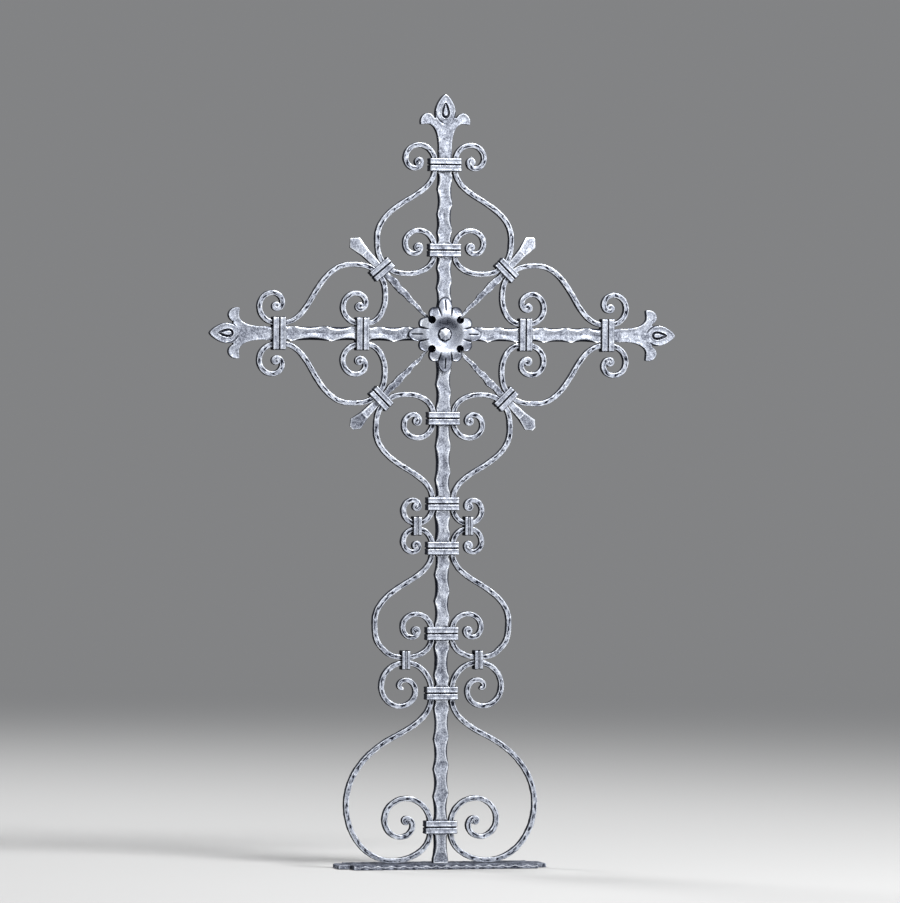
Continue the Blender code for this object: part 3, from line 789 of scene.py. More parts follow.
def distance_to(outline, across, along):
    """How far points lie from an outline, in bar space."""
    nearest = np.full(len(across), 1.0)
    for (a0, s0), (a1, s1) in zip(outline, outline[1:] + outline[:1]):
        run_a, run_s = a1 - a0, s1 - s0
        length = run_a ** 2 + run_s ** 2
        share = np.clip(((across - a0) * run_a + (along - s0) * run_s) / length, 0, 1)
        nearest = np.minimum(nearest, np.hypot(across - a0 - run_a * share, along - s0 - run_s * share))
    return nearest


def inside(outline, across, along):
    """Which points lie inside an outline."""
    result = np.zeros(len(across), bool)
    for (a0, s0), (a1, s1) in zip(outline, outline[1:] + outline[:1]):
        crosses = (s0 > along) != (s1 > along)
        with np.errstate(divide="ignore", invalid="ignore"):
            at = (a1 - a0) * (along - s0) / (s1 - s0) + a0
        result ^= crosses & (across < at)
    return result


# Chased lines beside the lens, as (across, distance below the tip) in millimetres
LEFT_CREASE = ((-16.2, 29), (-15.6, 33), (-13.4, 38.3), (-9.0, 43), (-2.0, 48.8))
RIGHT_CREASE = ((16.8, 29), (15.6, 34), (14.0, 38.5), (11.0, 43.5))


def finial(name, low, tip, seed):
    """The fleur-de-lis in bar space: leaves and a lens joined and smoothed as one forging, then chased."""
    leaf_line = tip - LENS_LENGTH
    leaves = mirrored(leaf_outline(leaf_line, low))
    lens = mirrored(lens_outline(leaf_line - LENS_ROOT, tip))
    piece = cut_out(name, leaves, LEAF_DEPTH)
    head = cut_out("head", lens, LENS_DEPTH)
    points = points_of(head)
    lift = smooth_step(leaf_line - LENS_ROOT, leaf_line + 0.012, points[:, 2])
    points[:, 1] *= (LEAF_DEPTH + (LENS_DEPTH - LEAF_DEPTH) * lift) / LENS_DEPTH * 1.001
    move_points(head, points)
    join_on(piece, head)
    apply_modifier(piece, "REMESH", mode="VOXEL", voxel_size=FINIAL_VOXEL)
    apply_modifier(piece, "SMOOTH", factor=0.5, iterations=5)
    chase(piece, leaves, lens, low, tip)
    apply_modifier(piece, "SMOOTH", factor=0.4, iterations=1)
    hammer(piece, "finial", seed)
    mark_arrises(piece, rounds=3, gain=0.45)
    return piece


def chase(piece, leaves, lens, low, tip):
    """Hollows the leaves, the neck and the lens, and cuts the creases and the drop into the front."""
    leaf_line = tip - LENS_LENGTH
    points = points_of(piece)
    across, deep, along = points.T
    tear = tear_outline(tip)
    in_lens, in_tear = inside(lens, across, along), inside(tear, across, along)
    from_leaf, from_lens = distance_to(leaves, across, along), distance_to(lens, across, along)
    from_tear = distance_to(tear, across, along)
    upper = smooth_step(leaf_line - 0.001, leaf_line + 0.010, along)
    to_leaf = np.where(in_lens, 0.006, from_leaf)
    sink = LEAF_HOLLOW * smooth_step(0.0010, 0.0055, to_leaf) * (1 - upper * in_lens)
    field = smooth_step(0.0010, 0.0048, from_lens) * smooth_step(0.0004, 0.0034, from_tear)
    sink += LENS_HOLLOW * field * upper * in_lens * ~in_tear
    neck = smooth_step(leaf_line - LEAF_STEM + 0.006, low + 0.003, along)
    neck *= smooth_step(0.0046, 0.0008, from_leaf)
    sink += NECK_HOLLOW * neck * ~in_lens
    for crease in (LEFT_CREASE, RIGHT_CREASE):
        line = [(a / 1000, tip - s / 1000) for a, s in crease]
        from_line = distance_to(line + line[-2:0:-1], across, along)
        fade = smooth_step(line[-1][1] - 0.001, line[-1][1] + 0.004, along)
        sink += CREASE_DEPTH * np.exp(-(from_line / CREASE_WIDTH) ** 2) * fade
    wall = smooth_step(-0.0009, 0.0008, np.where(in_tear, from_tear, -from_tear))
    drop = smooth_step(0.0012, 0.0036, from_tear)
    chased = sink + wall * (TEAR_GROOVE * (1 - drop) + TEAR_SINK * drop)
    on_face = normals_of(piece)[:, 1] * np.sign(deep) > 0.5
    deep -= np.sign(deep) * np.where(on_face, np.where(deep < 0, chased, sink), 0)
    move_points(piece, points)


def build_bars():
    """The upright and the two arms, each with its finial."""
    half = COLLAR_SIZE.z / 2

    def flats_at(places):
        return [(place - half, place + half) for place in places]

    heights = [BASE_LOW, BASE_HIGH, MIDDLE_LOW, MIDDLE_HIGH]
    flats = flats_at([height - HEAD for height in heights] + [-OUTER_COLLAR, -INNER_COLLAR])
    flats += [(-BAR_WIDTH / 2, BAR_WIDTH / 2)] + flats_at([INNER_COLLAR, OUTER_COLLAR])
    low = PLATE_THICKNESS + GAP - HEAD
    side = BAR_WIDTH / 2 + GAP
    arm_flats = flats_at([INNER_COLLAR, OUTER_COLLAR])
    bars = (
        ("upright", low, (UPRIGHT_LEFT, UPRIGHT_RIGHT), flats, (0, 1)),
        ("arm_left", side, (LEFT_ARM_BOTTOM, LEFT_ARM_TOP), arm_flats, (-1, 0)),
        ("arm_right", side, (RIGHT_ARM_TOP, RIGHT_ARM_BOTTOM), arm_flats, (1, 0)),
    )
    for seed, (node, start, edges, node_flats, direction) in enumerate(bars):
        bar = hammered_bar(f"hammered_{node}", start, OUTER_COLLAR, edges, node_flats, seed + 1)
        head = finial("finial", OUTER_COLLAR, TIP, seed + 5)
        select_only(bar, head)
        bpy.ops.object.join()
        stand(bar, direction, (0.0, HEAD))
        fit(bar, BAR_PAINT, "bar_iron", node)


# Scrolls


def spiral(start, first_radius, shrink_sweep, roll=EYE_ROLL):
    """Rolls up clockwise from a point heading along +v, as (u, v, heading), and closes into an eye."""
    tight = shrink_sweep + EYE_SWEEP
    u, v = start
    turned = 0.0
    points = [(u, v, pi / 2)]
    while turned < tight + roll:
        share = min(1.0, turned / shrink_sweep) ** SHRINK_EASE
        radius = first_radius + (EYE_RADIUS - first_radius) * share
        if turned > tight:
            radius += (EYE_END_RADIUS - EYE_RADIUS) * min(1.0, (turned - tight) / EYE_ROLL)
        turn = min(SPIRAL_STEP / radius, tight + roll - turned + 1e-9)
        u += radius * turn * cos(pi / 2 - turned - turn / 2)
        v += radius * turn * sin(pi / 2 - turned - turn / 2)
        turned += turn
        points.append((u, v, pi / 2 - turned))
    return points


def bend(start, end, steps=80):
    """A smooth run between two knots (u, v, heading)."""
    u0, v0, h0 = start
    u1, v1, h1 = end
    turn = (h1 - h0 + pi) % (2 * pi) - pi
    pull = hypot(u1 - u0, v1 - v0) / cos(turn / 4) ** 2
    points = []
    for k in range(1, steps + 1):
        t = k / steps
        a = 2 * t ** 3 - 3 * t ** 2 + 1
        b = t ** 3 - 2 * t ** 2 + t
        c = 3 * t ** 2 - 2 * t ** 3
        d = t ** 3 - t ** 2
        points.append((
            a * u0 + b * pull * cos(h0) + c * u1 + d * pull * cos(h1),
            a * v0 + b * pull * sin(h0) + c * v1 + d * pull * sin(h1),
        ))
    return points


def scroll_line(outer, inner, knots, outer_curl, inner_curl):
    """Centre line of a scroll between its two collars, as evenly spaced (u, v) points."""
    down, up = -pi / 2, pi / 2
    line = [(u, v) for u, v, _ in reversed(spiral((GRIP_U, outer + GRIP), *outer_curl))]
    before = (GRIP_U, outer - RUN_GRIP, down)
    line.append(before[:2])
    for knot in knots:
        line += bend(before, knot)
        before = knot
    line += bend(before, (GRIP_U, inner - RUN_GRIP, up))
    line += [(u, v) for u, v, _ in spiral((GRIP_U, inner + GRIP), *inner_curl)]
    line = np.array(line)
    steps = np.hypot(*np.diff(line, axis=0).T)
    along = np.concatenate([[0], np.cumsum(steps)])
    even = np.linspace(0, along[-1], ceil(along[-1] / STEP) + 1)
    return np.stack([np.interp(even, along, line[:, k]) for k in (0, 1)], 1)


def small_line():
    """The small scroll's line, which also lies along a ray at 45 degrees where its collar grips both."""
    curl = (CURL_FIRST_RADIUS, CURL_SHRINK_SWEEP)
    offset = (RAY_WIDTH / 2 + GAP + SCROLL_WIDTH / 2) / sqrt(2)
    collar = RAY_COLLAR / sqrt(2)
    step = RAY_GRIP / sqrt(2)
    knots = [
        (WAIST_U, INNER_COLLAR + WAIST_V, -pi / 2 + WAIST_TURN),
        (BELLY_U, INNER_COLLAR + BELLY_V, -pi / 2),
        (collar - offset + step, collar + offset + step, -3 * pi / 4),
        (collar - offset - step, collar + offset - step, -3 * pi / 4),
        (FOOT_U, INNER_COLLAR + FOOT_V, -pi),
    ]
    return scroll_line(OUTER_COLLAR, INNER_COLLAR, knots, curl, curl)


def base_line():
    """The base scroll's line, which touches down on the plate."""
    knots = [
        (BASE_WAIST_U, BASE_HIGH - BASE_WAIST_DROP, -pi / 2 + BASE_WAIST_TURN),
        (BASE_BELLY_U, BASE_BELLY_V, -pi / 2),
        (BASE_FOOT_U, PLATE_THICKNESS + GAP + SCROLL_WIDTH / 2, -pi),
    ]
    upper = (BASE_UPPER_RADIUS, BASE_UPPER_SHRINK_SWEEP, BASE_UPPER_ROLL)
    lower = (BASE_LOWER_RADIUS, BASE_LOWER_SHRINK_SWEEP)
    return scroll_line(BASE_HIGH, BASE_LOW, knots, upper, lower)


def rolled_bar(name, line, seed):
    """Draws a small bar out of its section and rolls it along a line in the XZ plane."""
    headings = np.unwrap(np.arctan2(*np.gradient(line, axis=0).T[::-1]))
    bar = add(
        name, bpy.ops.mesh.primitive_plane_add, size=1,
        location=(line[0][0], 0, line[0][1]), rotation=(0, pi / 2 - headings[0], 0),
    )
    bar.scale = (FULL_WIDTH, FULL_DEPTH, 1)
    settle(bar)
    edit(bar, "VERT")
    choose_all()
    bpy.ops.mesh.bevel(offset=SCROLL_BEVEL, segments=2, affect="VERTICES")
    bpy.ops.mesh.select_mode(type="EDGE")
    choose(bar, "edges", lambda edge: edge.calc_length() > 0.003)
    bpy.ops.mesh.subdivide(number_cuts=3)
    bpy.ops.mesh.select_mode(type="FACE")
    choose_all()
    for before, after, turn in zip(line, line[1:], np.diff(headings)):
        extrude((after[0] - before[0], 0, after[1] - before[1]))
        bpy.ops.transform.rotate(
            value=turn, orient_axis="Y", orient_type="GLOBAL", center_override=(after[0], 0, after[1])
        )
    close()
    face_outwards(bar)
    draw_down(bar, line)
    hammer(bar, "scroll", seed, 0.35)
    return bar


def draw_down(bar, line):
    """Thins the rolled ends of a bar, and stores where each vertex lies along and across it."""
    points = points_of(bar)
    places = np.empty((len(points), 3))
    run = np.gradient(line, axis=0)
    run /= np.hypot(*run.T)[:, None]
    last = len(line) - 1
    thinnest = SCROLL_END_WIDTH / SCROLL_WIDTH
    for i, (x, y, z) in enumerate(points):
        k = int(np.argmin((line[:, 0] - x) ** 2 + (line[:, 1] - z) ** 2))
        from_end = min(k, last - k) * STEP
        scale = thinnest + (1 - thinnest) * min(1.0, from_end / DRAWN_END)
        if from_end < STEP / 2:
            scale *= EYE_TAPER
        off = Vector((x - line[k][0], z - line[k][1]))
        places[i] = (k * STEP * FLECK_STRETCH, y, off.x * run[k][1] - off.y * run[k][0])
        points[i][0] = line[k][0] + off.x * scale
        points[i][2] = line[k][1] + off.y * scale
    move_points(bar, points)
    store(bar, "bar_place", places, "FLOAT_VECTOR")


def shift_places(bar, shift):
    """Moves the paint's pattern along a copied bar, so that no two look alike."""
    places = read(bar.data.attributes["bar_place"].data, "vector", 3)
    places[:, 0] += shift
    store(bar, "bar_place", places, "FLOAT_VECTOR")


def build_scrolls():
    """Ten scrolls of one shape, and two large ones at the base; left ones are mirrored."""
    small = rolled_bar("small_scroll", small_line(), 3)
    base = rolled_bar("base_scroll", base_line(), 4)
    flip = Matrix.Diagonal((1, 1, -1, 1))
    over = Matrix(((0, 0, 1, 0), (0, 1, 0, 0), (1, 0, 0, 0), (0, 0, 0, 1)))
    head = Matrix.Translation((0, 0, HEAD))
    middle = Matrix.Translation((0, 0, MIDDLE_LOW - INNER_COLLAR))
    for side, hand in ((-1, "left"), (1, "right")):
        mirror = Matrix.Diagonal((side, 1, 1, 1))
        places = {
            f"scroll_top_{hand}": (small, mirror @ head),
            f"scroll_neck_{hand}": (small, mirror @ head @ flip),
            f"scroll_middle_{hand}": (small, mirror @ middle),
            f"scroll_arm_{hand}_upper": (small, mirror @ head @ over),
            f"scroll_arm_{hand}_lower": (small, mirror @ head @ flip @ over),
            f"scroll_base_{hand}": (base, mirror),
        }
        for node, (model, place) in places.items():
            scroll = copy_of(model, f"rolled_{node}")
            scroll.data.transform(place)
            if place.determinant() < 0:
                face_outwards(scroll)
            shift_places(scroll, len(node) * 0.37 + side * 0.21 + ord(node[-1]) * 0.13)
            fit(scroll, SCROLL_PAINT, "scroll_iron", node)
    throw_away(small, base)


# Collars


def bead_profile(along, beads, groove):
    """How deep a collar's face lies under its full wall: faintly hollow beads with grooves between."""
    length = sum(beads)
    place = along + length / 2
    depth = np.zeros(len(along))
    low = 0.0
    for k, bead in enumerate(beads):
        if k:
            depth += groove * np.exp(-((place - low) / GROOVE_WIDTH) ** 2)
        middle = 1 - np.clip(np.abs(place - low - bead / 2) / (bead * 0.32), 0, 1) ** 2
        depth += BEAD_HOLLOW * middle * (bead > 0.005)
        low += bead
    ends = np.minimum(place, length - place)
    return depth + 0.0008 * np.exp(-(ends / 0.0007) ** 2)


def wrapped_band(name, width, depth, beads, wall, groove, seed):
    """A band of several beads in bar space, centred on the origin, with its inside open."""
    half = Vector((width, depth, sum(beads))) / 2
    band = add_box(name, -half, half)
    settle(band)
    edit(band, "FACE")
    choose(band, "faces", lambda face: abs(face.normal.z) > 0.9)
    bpy.ops.mesh.delete(type="ONLY_FACE")
    bpy.ops.mesh.select_mode(type="EDGE")
    bevel_edges(band, runs_along(2), BAND_CORNER, 4)
    slice_along(band, 2, BAND_STEP)
    slice_along(band, 0, STEP * 0.9)
    slice_along(band, 1, STEP * 0.9)
    for end in (-1, 1):
        choose(band, "edges", lambda edge: all(v.co.z * end > half.z - TOUCH for v in edge.verts))
        extrude()
        scale = (1 - wall * 0.97 / half.x, 1 - wall * 0.97 / half.y, 1)
        bpy.ops.transform.resize(value=scale, center_override=(0, 0, 0))
    inner = half - Vector((wall, wall, 0)) * 0.9
    choose(band, "edges", lambda edge: all(
        abs(v.co.x) < inner.x and abs(v.co.y) < inner.y and abs(v.co.z) > half.z - TOUCH
        for v in edge.verts
    ))
    bpy.ops.mesh.bridge_edge_loops()
    close()
    face_outwards(band)
    points, outwards = points_of(band), normals_of(band)
    outwards[:, 2] = 0
    outwards /= np.maximum(np.linalg.norm(outwards, axis=1), 1e-6)[:, None]
    outside = (np.abs(points[:, 0]) > half.x - wall * 0.5) | (np.abs(points[:, 1]) > half.y - wall * 0.5)
    sink = np.where(outside, bead_profile(points[:, 2], beads, groove), 0)
    move_points(band, points - outwards * sink[:, None])
    hammer(band, "collar", seed)
    # Painted shadow: a dark line along both ends of each collar, where it meets the bar
    ends = np.abs(points[:, 2]) > half.z - 0.0005
    mark_arrises(band, rounds=2, gain=0.5, shade=ends * 0.7)
    return band


def build_collars():
    """Twelve collars on the bars, four on the rays and four ties between scrolls."""
    bead = COLLAR_SIZE.z / 2
    band = wrapped_band("band", COLLAR_SIZE.x, COLLAR_SIZE.y, (bead, bead), COLLAR_WALL, COLLAR_GROOVE, 1)
    ray_size = size_of("collar_ray_upper_right")
    span = ray_size.x * sqrt(2) - RAY_COLLAR_LENGTH + RAY_COLLAR_EXTRA
    bead = RAY_COLLAR_LENGTH / 2
    ray_band = wrapped_band("ray_band", span, ray_size.y, (bead, bead), RAY_COLLAR_WALL, COLLAR_GROOVE, 2)
    beads = [TIE_SIZE.x * share for share in TIE_BEADS]
    tie = wrapped_band("tie", TIE_SIZE.z, TIE_SIZE.y, beads, TIE_WALL, TIE_GROOVE, 3)
    places = {}
    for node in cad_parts:
        words = node.split("_")
        if words[0] == "tie":
            places[node] = (tie, (1, 0))
        elif node.startswith("collar_ray"):
            direction = (1 if "right" in words else -1, 1 if "upper" in words else -1)
            if words[2:] == ["upper", "left"]:
                direction = (-sin(UPPER_LEFT_LEAN), cos(UPPER_LEFT_LEAN))
            places[node] = (ray_band, direction)
        elif words[0] == "collar":
            places[node] = (band, (1, 0) if "left" in words or "right" in words else (0, 1))
    for node, (model, direction) in places.items():
        collar = copy_of(model, f"wrapped_{node}")
        centre = middle_of(node)
        stand(collar, direction, (centre.x, centre.z))
        fit(collar, COLLAR_PAINT, "collar_iron", node)
    throw_away(band, ray_band, tie)


# Rays


def ray(name, seed, short, lean, dull):
    """A square bar drawn to a long point inwards, and beaten out to a flat hipped end.

    No two are quite alike: each end is a little short, leans across, or is duller.
    """
    half = RAY_WIDTH / 2
    bar = add_box(name, (-half, -half, RAY_TIP), (half, half, RAY_END))
    settle(bar)
    edit(bar)
    bevel_edges(bar, runs_along(2), RAY_BEVEL, 2)
    for axis in (2, 0, 1):
        slice_along(bar, axis, FINE_STEP)
    close()
    grip = RAY_COLLAR_LENGTH / 2
    places = [RAY_TIP, RAY_SWELL, RAY_COLLAR - grip, RAY_COLLAR + grip, RAY_COLLAR + 0.0130, RAY_CREASE,
              RAY_SHOULDER - short, RAY_END]
    widths = [RAY_POINT, 0.0136, RAY_WIDTH, RAY_WIDTH, 0.0124, 0.0150, 0.0236, 0.0020]
    depths = [RAY_POINT, RAY_WIDTH, RAY_WIDTH, RAY_WIDTH, 0.0096, 0.0116, 0.0044, 0.0028]
    points = points_of(bar)
    across, deep, along = np.abs(points).T
    rim = (across > half - RAY_BEVEL - TOUCH) & (deep > half - TOUCH)
    along -= smooth_step(RAY_CREASE, RAY_END, along) * short
    inner = smooth_step(RAY_COLLAR, RAY_COLLAR - 0.02, along)
    sway = 1 - 0.11 * inner * np.abs(np.sin(along * pi / 0.019 + seed))
    sizes = (np.interp(along, places, widths) / 2 * sway, np.interp(along, places, depths) / 2)
    for axis, size in enumerate(sizes):
        bevel = np.minimum(RAY_BEVEL, size * 0.35)
        out = squeeze(np.abs(points[:, axis]), half - RAY_BEVEL, RAY_BEVEL, size - bevel, bevel)
        points[:, axis] = np.sign(points[:, axis]) * out
    points[:, 0] += 0.0006 * inner * np.sin(along * 2 * pi / 0.027 + seed * 2)
    points[:, 0] += lean * np.maximum(along - RAY_COLLAR, 0)
    points[:, 2] = along
    move_points(bar, points)
    beaten = smooth_step(RAY_COLLAR + 0.01, RAY_COLLAR, along)
    hammer(bar, "ray", seed)
    move_points(bar, points + (points_of(bar) - points) * (0.2 + 0.8 * beaten)[:, None])
    shade = beaten * (stored(bar, "tone") > 0.62) * 0.28 + dull * (along > RAY_CREASE)
    shine = np.where(rim | (np.abs(along - RAY_CREASE) < 0.0008), 0.78, 0) * (1 - beaten)
    # Painted light: the ray is made brighter towards its inner tip, where the rosette shades it
    shine = np.maximum(shine, 0.66 * smooth_step(RAY_TIP + 0.034, RAY_TIP + 0.018, along))
    mark_arrises(bar, gain=0.9, shade=shade, shine=shine)
    return bar


def build_rays():
    for side, hand in ((-1, "left"), (1, "right")):
        for rise, level in ((1, "upper"), (-1, "lower")):
            bar = ray(f"forged_ray_{level}_{hand}", side + rise * 2 + 5, *RAY_ENDS[level, hand])
            stand(bar, (side, rise), (0.0, HEAD))
            fit(bar, BAR_PAINT, "bar_iron", f"ray_{level}_{hand}")


# Rosette


def round_reach(angle, centre, radial, tangential):
    """Where a ray at an angle leaves an ellipse whose middle is at a distance, or 0 if it misses."""
    a = (cos(angle) / radial) ** 2 + (sin(angle) / tangential) ** 2
    b = -2 * cos(angle) * centre / radial ** 2
    c = (centre / radial) ** 2 - 1
    root = b * b - 4 * a * c
    return (-b + sqrt(root)) / (2 * a) if root > 0 else 0.0


def turn_from_long(angle):
    """The angle from the middle of the nearest long petal, -45 to 45 degrees."""
    return (angle + pi / 4) % (pi / 2) - pi / 4


def petal_reach(angle):
    """The rosette's outline: four long petals with two short round ones between each pair."""
    turn = abs(turn_from_long(angle))
    return max(
        SHEET_RADIUS,
        round_reach(turn, *LONG_PETAL_END),
        round_reach(turn - SHORT_PETAL_TURN, *SHORT_PETAL_END),
    )


def rosette_front(radius):
    """How far the front of the sheet stands before the bars, by radius."""
    if radius < PETAL_SEAT:
        return ROSETTE_SHEET
    if radius < RIM_RADIUS:
        share = (radius - PETAL_SEAT) / (RIM_RADIUS - PETAL_SEAT)
        return ROSETTE_SHEET + ROSETTE_RISE * (1 - cos(share * pi)) / 2
    share = min(1.0, (radius - RIM_RADIUS) / (LONG_PETAL - RIM_RADIUS))
    return ROSETTE_SHEET + ROSETTE_RISE * (0.25 + 0.75 * cos(share * pi / 2))


def fade_in(value, low, high):
    return max(0.0, min(1.0, (value - low) / (high - low)))


def on_groove(radius, across):
    """How far a point is on the groove down the middle of a long petal, 0 to 1."""
    along = fade_in(radius, 0.0375, 0.0390) * fade_in(0.0560 - radius, 0, 0.0015)
    return along * np.exp(-(across / 0.0010) ** 2)


def on_split(radius, turn):
    """How near a point is to the split between a long petal and a short one, 0 to 1."""
    return np.exp(-(radius * sin(turn - PETAL_SPLIT) / SPLIT_WIDTH) ** 2)


def petal_relief(radius, angle):
    """The petals' grooves, rims and creases, as a depth below the sheet's front."""
    turn = abs(turn_from_long(angle))
    across = radius * sin(turn)
    sink = PETAL_GROOVE * on_groove(radius, across)
    sink += SPLIT_DEPTH * fade_in(radius, 0.028, 0.038) * on_split(radius, turn)
    rise = fade_in(radius, 0.033, 0.042)
    rim = fade_in(petal_reach(angle) - radius, 0.0006, 0.0030)
    if turn < PETAL_SPLIT:
        sink += rise * (0.0016 * rim + 0.0026 * (across / 0.0112) ** 2)
    else:
        off = radius * sin(turn - SHORT_PETAL_TURN)
        sink += rise * (0.0018 * rim * (1 - (off / 0.012) ** 2) + 0.0012)
    return sink


def painted_petal_light(radius, angle):
    """How much lighter or darker than the rest a petal is, 0 in the dish: painted light and shade, by how the
    petal faces the light.
    """
    quarter = int((angle + 2 * pi + pi / 4) // (pi / 2)) % 4
    turn = turn_from_long(angle)
    place = 1 + (turn > PETAL_SPLIT) - (turn < -PETAL_SPLIT)
    return PETAL_LIGHT_AND_SHADE[quarter][place] * fade_in(radius, 0.030, 0.036)


def shaded_places(points):
    """How dark the rosette stays at each point, and how bright it is at least: dark grooves and splits,
    painted shadow round the rivet, at the rim and in the pockets, and painted light and shade on the petals.
    """
    shade, shine = np.zeros(len(points)), np.zeros(len(points))
    for i, (x, _, z) in enumerate(points):
        radius, angle = hypot(x, z - HEAD), atan2(z - HEAD, x)
        turn = abs(turn_from_long(angle))
        groove = on_groove(radius, radius * sin(turn))
        split = fade_in(radius, 0.029, 0.036) * on_split(radius, turn)
        # Painted shadow: a dark ring round the rivet's foot
        rivet_shadow = fade_in(RIVET_RADIUS + 0.0022 - radius, 0, 0.0012)
        # A dark outer rim on the petals: partly paint the silver misses, partly painted shadow
        rim = 0.8 * fade_in(radius - petal_reach(angle), -0.0016, -0.0008)
        # Painted shadow: the pockets are shallow but painted black, as if deep
        pocket_shadow = fade_in(in_pocket(x, z), 0, 0.1)
        # Painted light and shade on the petals
        tone = painted_petal_light(radius, angle)
        shade[i] = max(groove, split, rivet_shadow, rim, pocket_shadow, -tone)
        shine[i] = 0.5 + tone if tone > 0 else 0.0
    return shade, shine


def in_pocket(x, z):
    """How far a point of the rosette is inside one of the four pockets, 0 to 1."""
    away = hypot(abs(x) - POCKET_PLACE, abs(z - HEAD) - POCKET_PLACE)
    return fade_in(POCKET_RADIUS - away, -0.0002, 0.0009)


def build_rosette():
    """A pressed flower with four pockets for the ray tips, painted black as the shadow of a deep hole, and
    the rivet that holds it.
    """
    seat = BAR_DEPTH / 2 + GAP
    sheet = add(
        "dished_rosette", bpy.ops.mesh.primitive_circle_add, vertices=ROSETTE_SPOKES, radius=LONG_PETAL,
        rotation=(pi / 2, 0, 0), location=(0, 0, HEAD), fill_type="NOTHING",
    )
    settle(sheet)
    edit(sheet)
    choose_all()
    for k in range(ROSETTE_RINGS, 1, -1):
        extrude()
        bpy.ops.transform.resize(value=((k - 1) / k,) * 3, center_override=(0, 0, HEAD))
    bpy.ops.mesh.edge_face_add()
    close()
    press(sheet, seat)
    face_outwards(sheet)
    if sum(face.normal.y for face in sheet.data.polygons) > 0:
        sheet.data.flip_normals()
    turn_back_rim(sheet, -seat)
    apply_modifier(sheet, "SOLIDIFY", thickness=ROSETTE_GAUGE, offset=-1)
    points = points_of(sheet)
    points[:, 1] = np.minimum(points[:, 1], -seat)
    move_points(sheet, points)
    hammer(sheet, "rosette", 2)
    shade, shine = shaded_places(points_of(sheet))
    mark_arrises(sheet, gain=0.45, shade=shade, shine=shine)
    fit(sheet, ROSETTE_PAINT, "rosette_iron", "rosette")
    build_rivet(seat + ROSETTE_SHEET + GAP)


def press(sheet, seat):
    """Presses a round flat sheet to the flower's outline, dish and petals."""
    points = points_of(sheet)
    for i, (x, _, z) in enumerate(points):
        angle = atan2(z - HEAD, x)
        share = hypot(x, z - HEAD) / LONG_PETAL
        radius = SHEET_PLAIN_RADIUS * share / SHEET_PLAIN_SHARE
        if share > SHEET_PLAIN_SHARE:
            outer_share = (share - SHEET_PLAIN_SHARE) / (1 - SHEET_PLAIN_SHARE)
            radius = SHEET_PLAIN_RADIUS + (petal_reach(angle) - SHEET_PLAIN_RADIUS) * outer_share
        x, z = radius * cos(angle), HEAD + radius * sin(angle)
        depth = seat + rosette_front(radius) - petal_relief(radius, angle)
        depth += (seat + ROSETTE_SHEET - depth) * in_pocket(x, z)
        points[i] = (x, -depth, z)
    move_points(sheet, points)


def turn_back_rim(sheet, back):
    """Draws the open rim of a sheet back to a plane."""
    edit(sheet)
    choose(sheet, "edges", lambda edge: edge.is_boundary)
    for steps_left in (3, 2, 1):
        extrude()
        mesh = bmesh.from_edit_mesh(sheet.data)
        for point in mesh.verts:
            if point.select:
                point.co.y += (back - point.co.y) / steps_left
        bmesh.update_edit_mesh(sheet.data)
    close()


def build_rivet(base):
    """A low dome, filed in eight flats round its top."""
    dome, skirt, clearance = RIVET_HEIGHT * 0.62, RIVET_HEIGHT * 0.38, RIVET_HEIGHT * 0.01
    rivet = add(
        "domed_rivet", bpy.ops.mesh.primitive_cone_add, vertices=8, radius1=RIVET_RADIUS,
        radius2=0.0012, depth=dome, rotation=(pi / 2, 0, 0),
        location=(0, -base - skirt - dome / 2, HEAD), end_fill_type="NGON",
    )
    settle(rivet)
    edit(rivet, "FACE")
    choose(rivet, "faces", lambda face: face.normal.y > 0.9)
    extrude((0, skirt - clearance, 0))
    bpy.ops.mesh.select_mode(type="EDGE")
    bevel_edges(rivet, lambda edge: all(abs(v.co.y + base + skirt) < 0.0004 for v in edge.verts), 0.0008, 3)
    choose_all()
    bpy.ops.mesh.quads_convert_to_tris()
    bpy.ops.mesh.subdivide(number_cuts=5)
    close()
    hammer(rivet, "rivet", 6)
    fit(rivet, RIVET_PAINT, "rosette_iron", "rosette_rivet", smooth_under=14)


# Foot plate


def build_plate():
    """A plate with a narrower tongue at each end, and a hammered edge."""
    half, deep = PLATE_LENGTH / 2, PLATE_DEPTH / 2
    plate = add_box("foot_plate", (-half, -deep, 0), (half, deep, PLATE_THICKNESS))
    settle(plate)
    edit(plate)
    slice_along(plate, 0, STEP * 1.1)
    slice_along(plate, 1, PLATE_STEP)
    slice_along(plate, 2, PLATE_STEP)
    bpy.ops.mesh.select_mode(type="FACE")
    for side in (-1, 1):
        choose(plate, "faces", lambda face: face.normal.x * side > 0.9
               and abs(face.calc_center_median().y) < TONGUE_DEPTH / 2)
        for _ in range(TONGUE_STEPS):
            step = (side * TONGUE_LENGTH / TONGUE_STEPS, 0, 0)
            extrude(step)
    close()
    face_outwards(plate)
    length, width, height = points_of(plate).T
    edge = deep - np.abs(width)
    brow = (edge < TOUCH) & (height > PLATE_THICKNESS - TOUCH)
    wave = np.abs(np.sin(length * pi / EDGE_WAVE + np.sin(length * 31) * 0.8))
    rim = np.clip(1 - edge / (0.0010 + 0.0050 * wave), 0, 1)
    width -= np.sign(width) * smooth_step(0.004, 0.0, edge) * wave * 0.0011
    height *= 1 - rim * (0.10 + 0.42 * wave)
    ends = smooth_step(0.004, 0.0, half + TONGUE_LENGTH - np.abs(length))
    height *= 1 - ends * 0.15
    move_points(plate, np.stack([length, width, height], 1))
    hammer_top(plate)
    mark_arrises(plate, gain=0.6, shine=brow * 0.95)
    soften_underside(plate)
    fit(plate, PLATE_PAINT, "plate_iron", "base_plate")


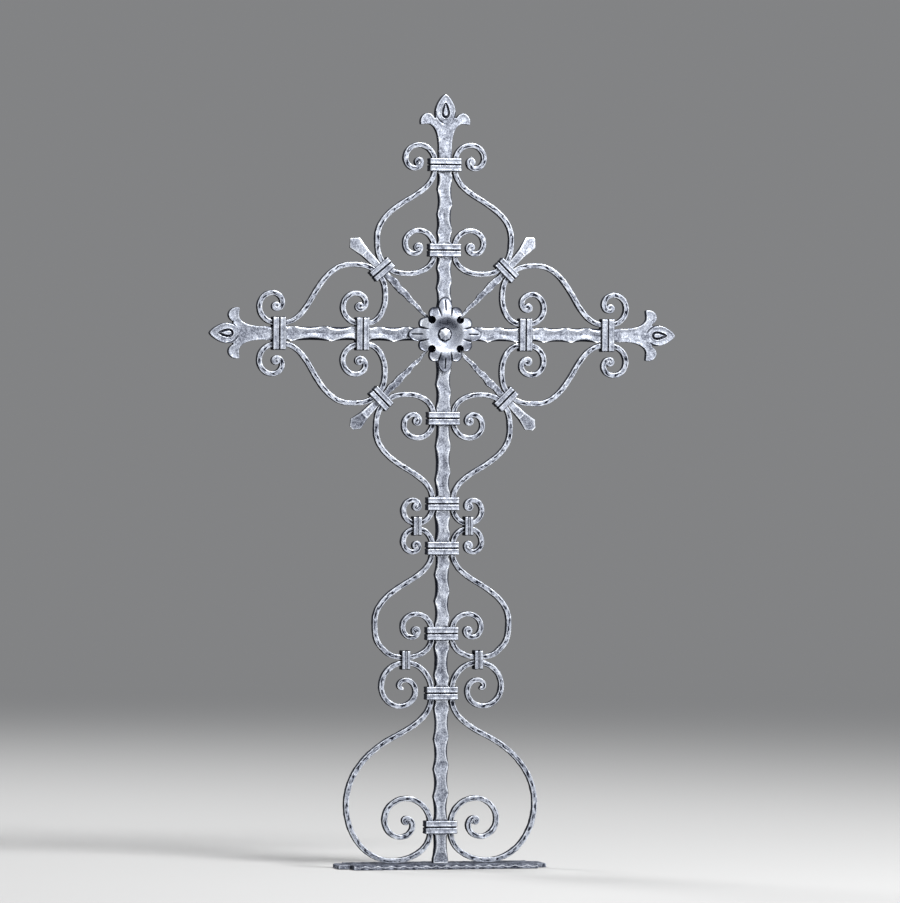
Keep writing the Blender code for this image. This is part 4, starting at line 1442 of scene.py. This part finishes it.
def soften_underside(plate):
    """Takes the silver off the plate's lower edge."""
    value = stored(plate, "arris")
    low = points_of(plate)[:, 2] < 0.0012
    store(plate, "arris", np.where(low, np.minimum(value, 0.45), value))


def hammer_top(plate):
    """Beats the plate's upper side and edges, and leaves its underside flat."""
    before = points_of(plate)
    hammer(plate, "plate", 8)
    after = points_of(plate)
    flat = before[:, 2] < TOUCH
    after[flat] = before[flat]
    move_points(plate, after)


# Floor, light and camera


def build_stage():
    """A plain pale floor that fades into the backdrop, soft studio lights and a pale surround."""
    surround = (0.80, 0.81, 0.83, 1)
    floor = add("floor", bpy.ops.mesh.primitive_circle_add, vertices=96, radius=40, fill_type="NGON",
                location=(0, 0, -0.0006))
    settle(floor)
    paint = Paint("pale_floor")
    out = paint.number("ShaderNodeVectorMath", {"operation": "LENGTH"}, {0: paint.place}, "Value")
    pale = paint.node("ShaderNodeBsdfPrincipled", {}, {"Base Color": (0.42, 0.42, 0.42, 1), "Roughness": 0.9})
    far = paint.node("ShaderNodeEmission", {}, {"Color": surround, "Strength": SURROUND})
    blend = paint.node("ShaderNodeMixShader", {}, {0: out.step(1.2, 6.0)})
    output = paint.node("ShaderNodeOutputMaterial", {}, {})
    paint.tree.links.new(pale.outputs[0], blend.inputs[1])
    paint.tree.links.new(far.outputs[0], blend.inputs[2])
    paint.tree.links.new(blend.outputs[0], output.inputs[0])
    floor.data.materials.append(paint.material)

    world = bpy.data.worlds.new("surround")
    bpy.context.scene.world = world
    world.use_nodes = True
    background = world.node_tree.nodes["Background"]
    background.inputs["Color"].default_value = surround
    background.inputs["Strength"].default_value = SURROUND

    lights = (
        ("key", (1.5, -2.1, 3.5), 1.1, 265),
        ("front", (2.6, -7.5, 2.2), 2.4, 130),
        ("back", (-2.6, 4.4, 4.6), 2.0, 340),
    )
    for name, place, size, power in lights:
        data = bpy.data.lights.new(name, "AREA")
        data.size = size
        data.energy = power
        light = bpy.data.objects.new(name, data)
        light.location = place
        aim = Vector((0, 0, 0.7)) - Vector(place)
        light.rotation_euler = aim.to_track_quat("-Z", "Y").to_euler()
        bpy.context.scene.collection.objects.link(light)


def build_camera():
    """The photograph's view: far away with a long lens, a little to the left of the front."""
    distance, height = 11.9946, 0.84717
    side, yaw, pitch, roll = (radians(angle) for angle in (14.3, 14.357, 0.8666, 0.3847))
    data = bpy.data.cameras.new("camera")
    data.lens = 300
    data.sensor_width = 36
    data.sensor_fit = "HORIZONTAL"
    data.clip_end = 100
    camera = bpy.data.objects.new("camera", data)
    bpy.context.scene.collection.objects.link(camera)
    forward = Vector((sin(yaw) * cos(pitch), cos(yaw) * cos(pitch), -sin(pitch)))
    level = Vector((cos(yaw), -sin(yaw), 0))
    up = level.cross(forward)
    right = level * cos(roll) + up * sin(roll)
    top = up * cos(roll) - level * sin(roll)
    turn = Matrix((right, top, -forward)).transposed().to_4x4()
    place = (-distance * sin(side), -distance * cos(side), height)
    camera.matrix_world = Matrix.Translation(place) @ turn
    bpy.context.scene.camera = camera


bpy.context.scene.view_settings.view_transform = "Standard"
build_camera()
build_stage()
build_bars()
build_scrolls()
build_collars()
build_rays()
build_rosette()
build_plate()
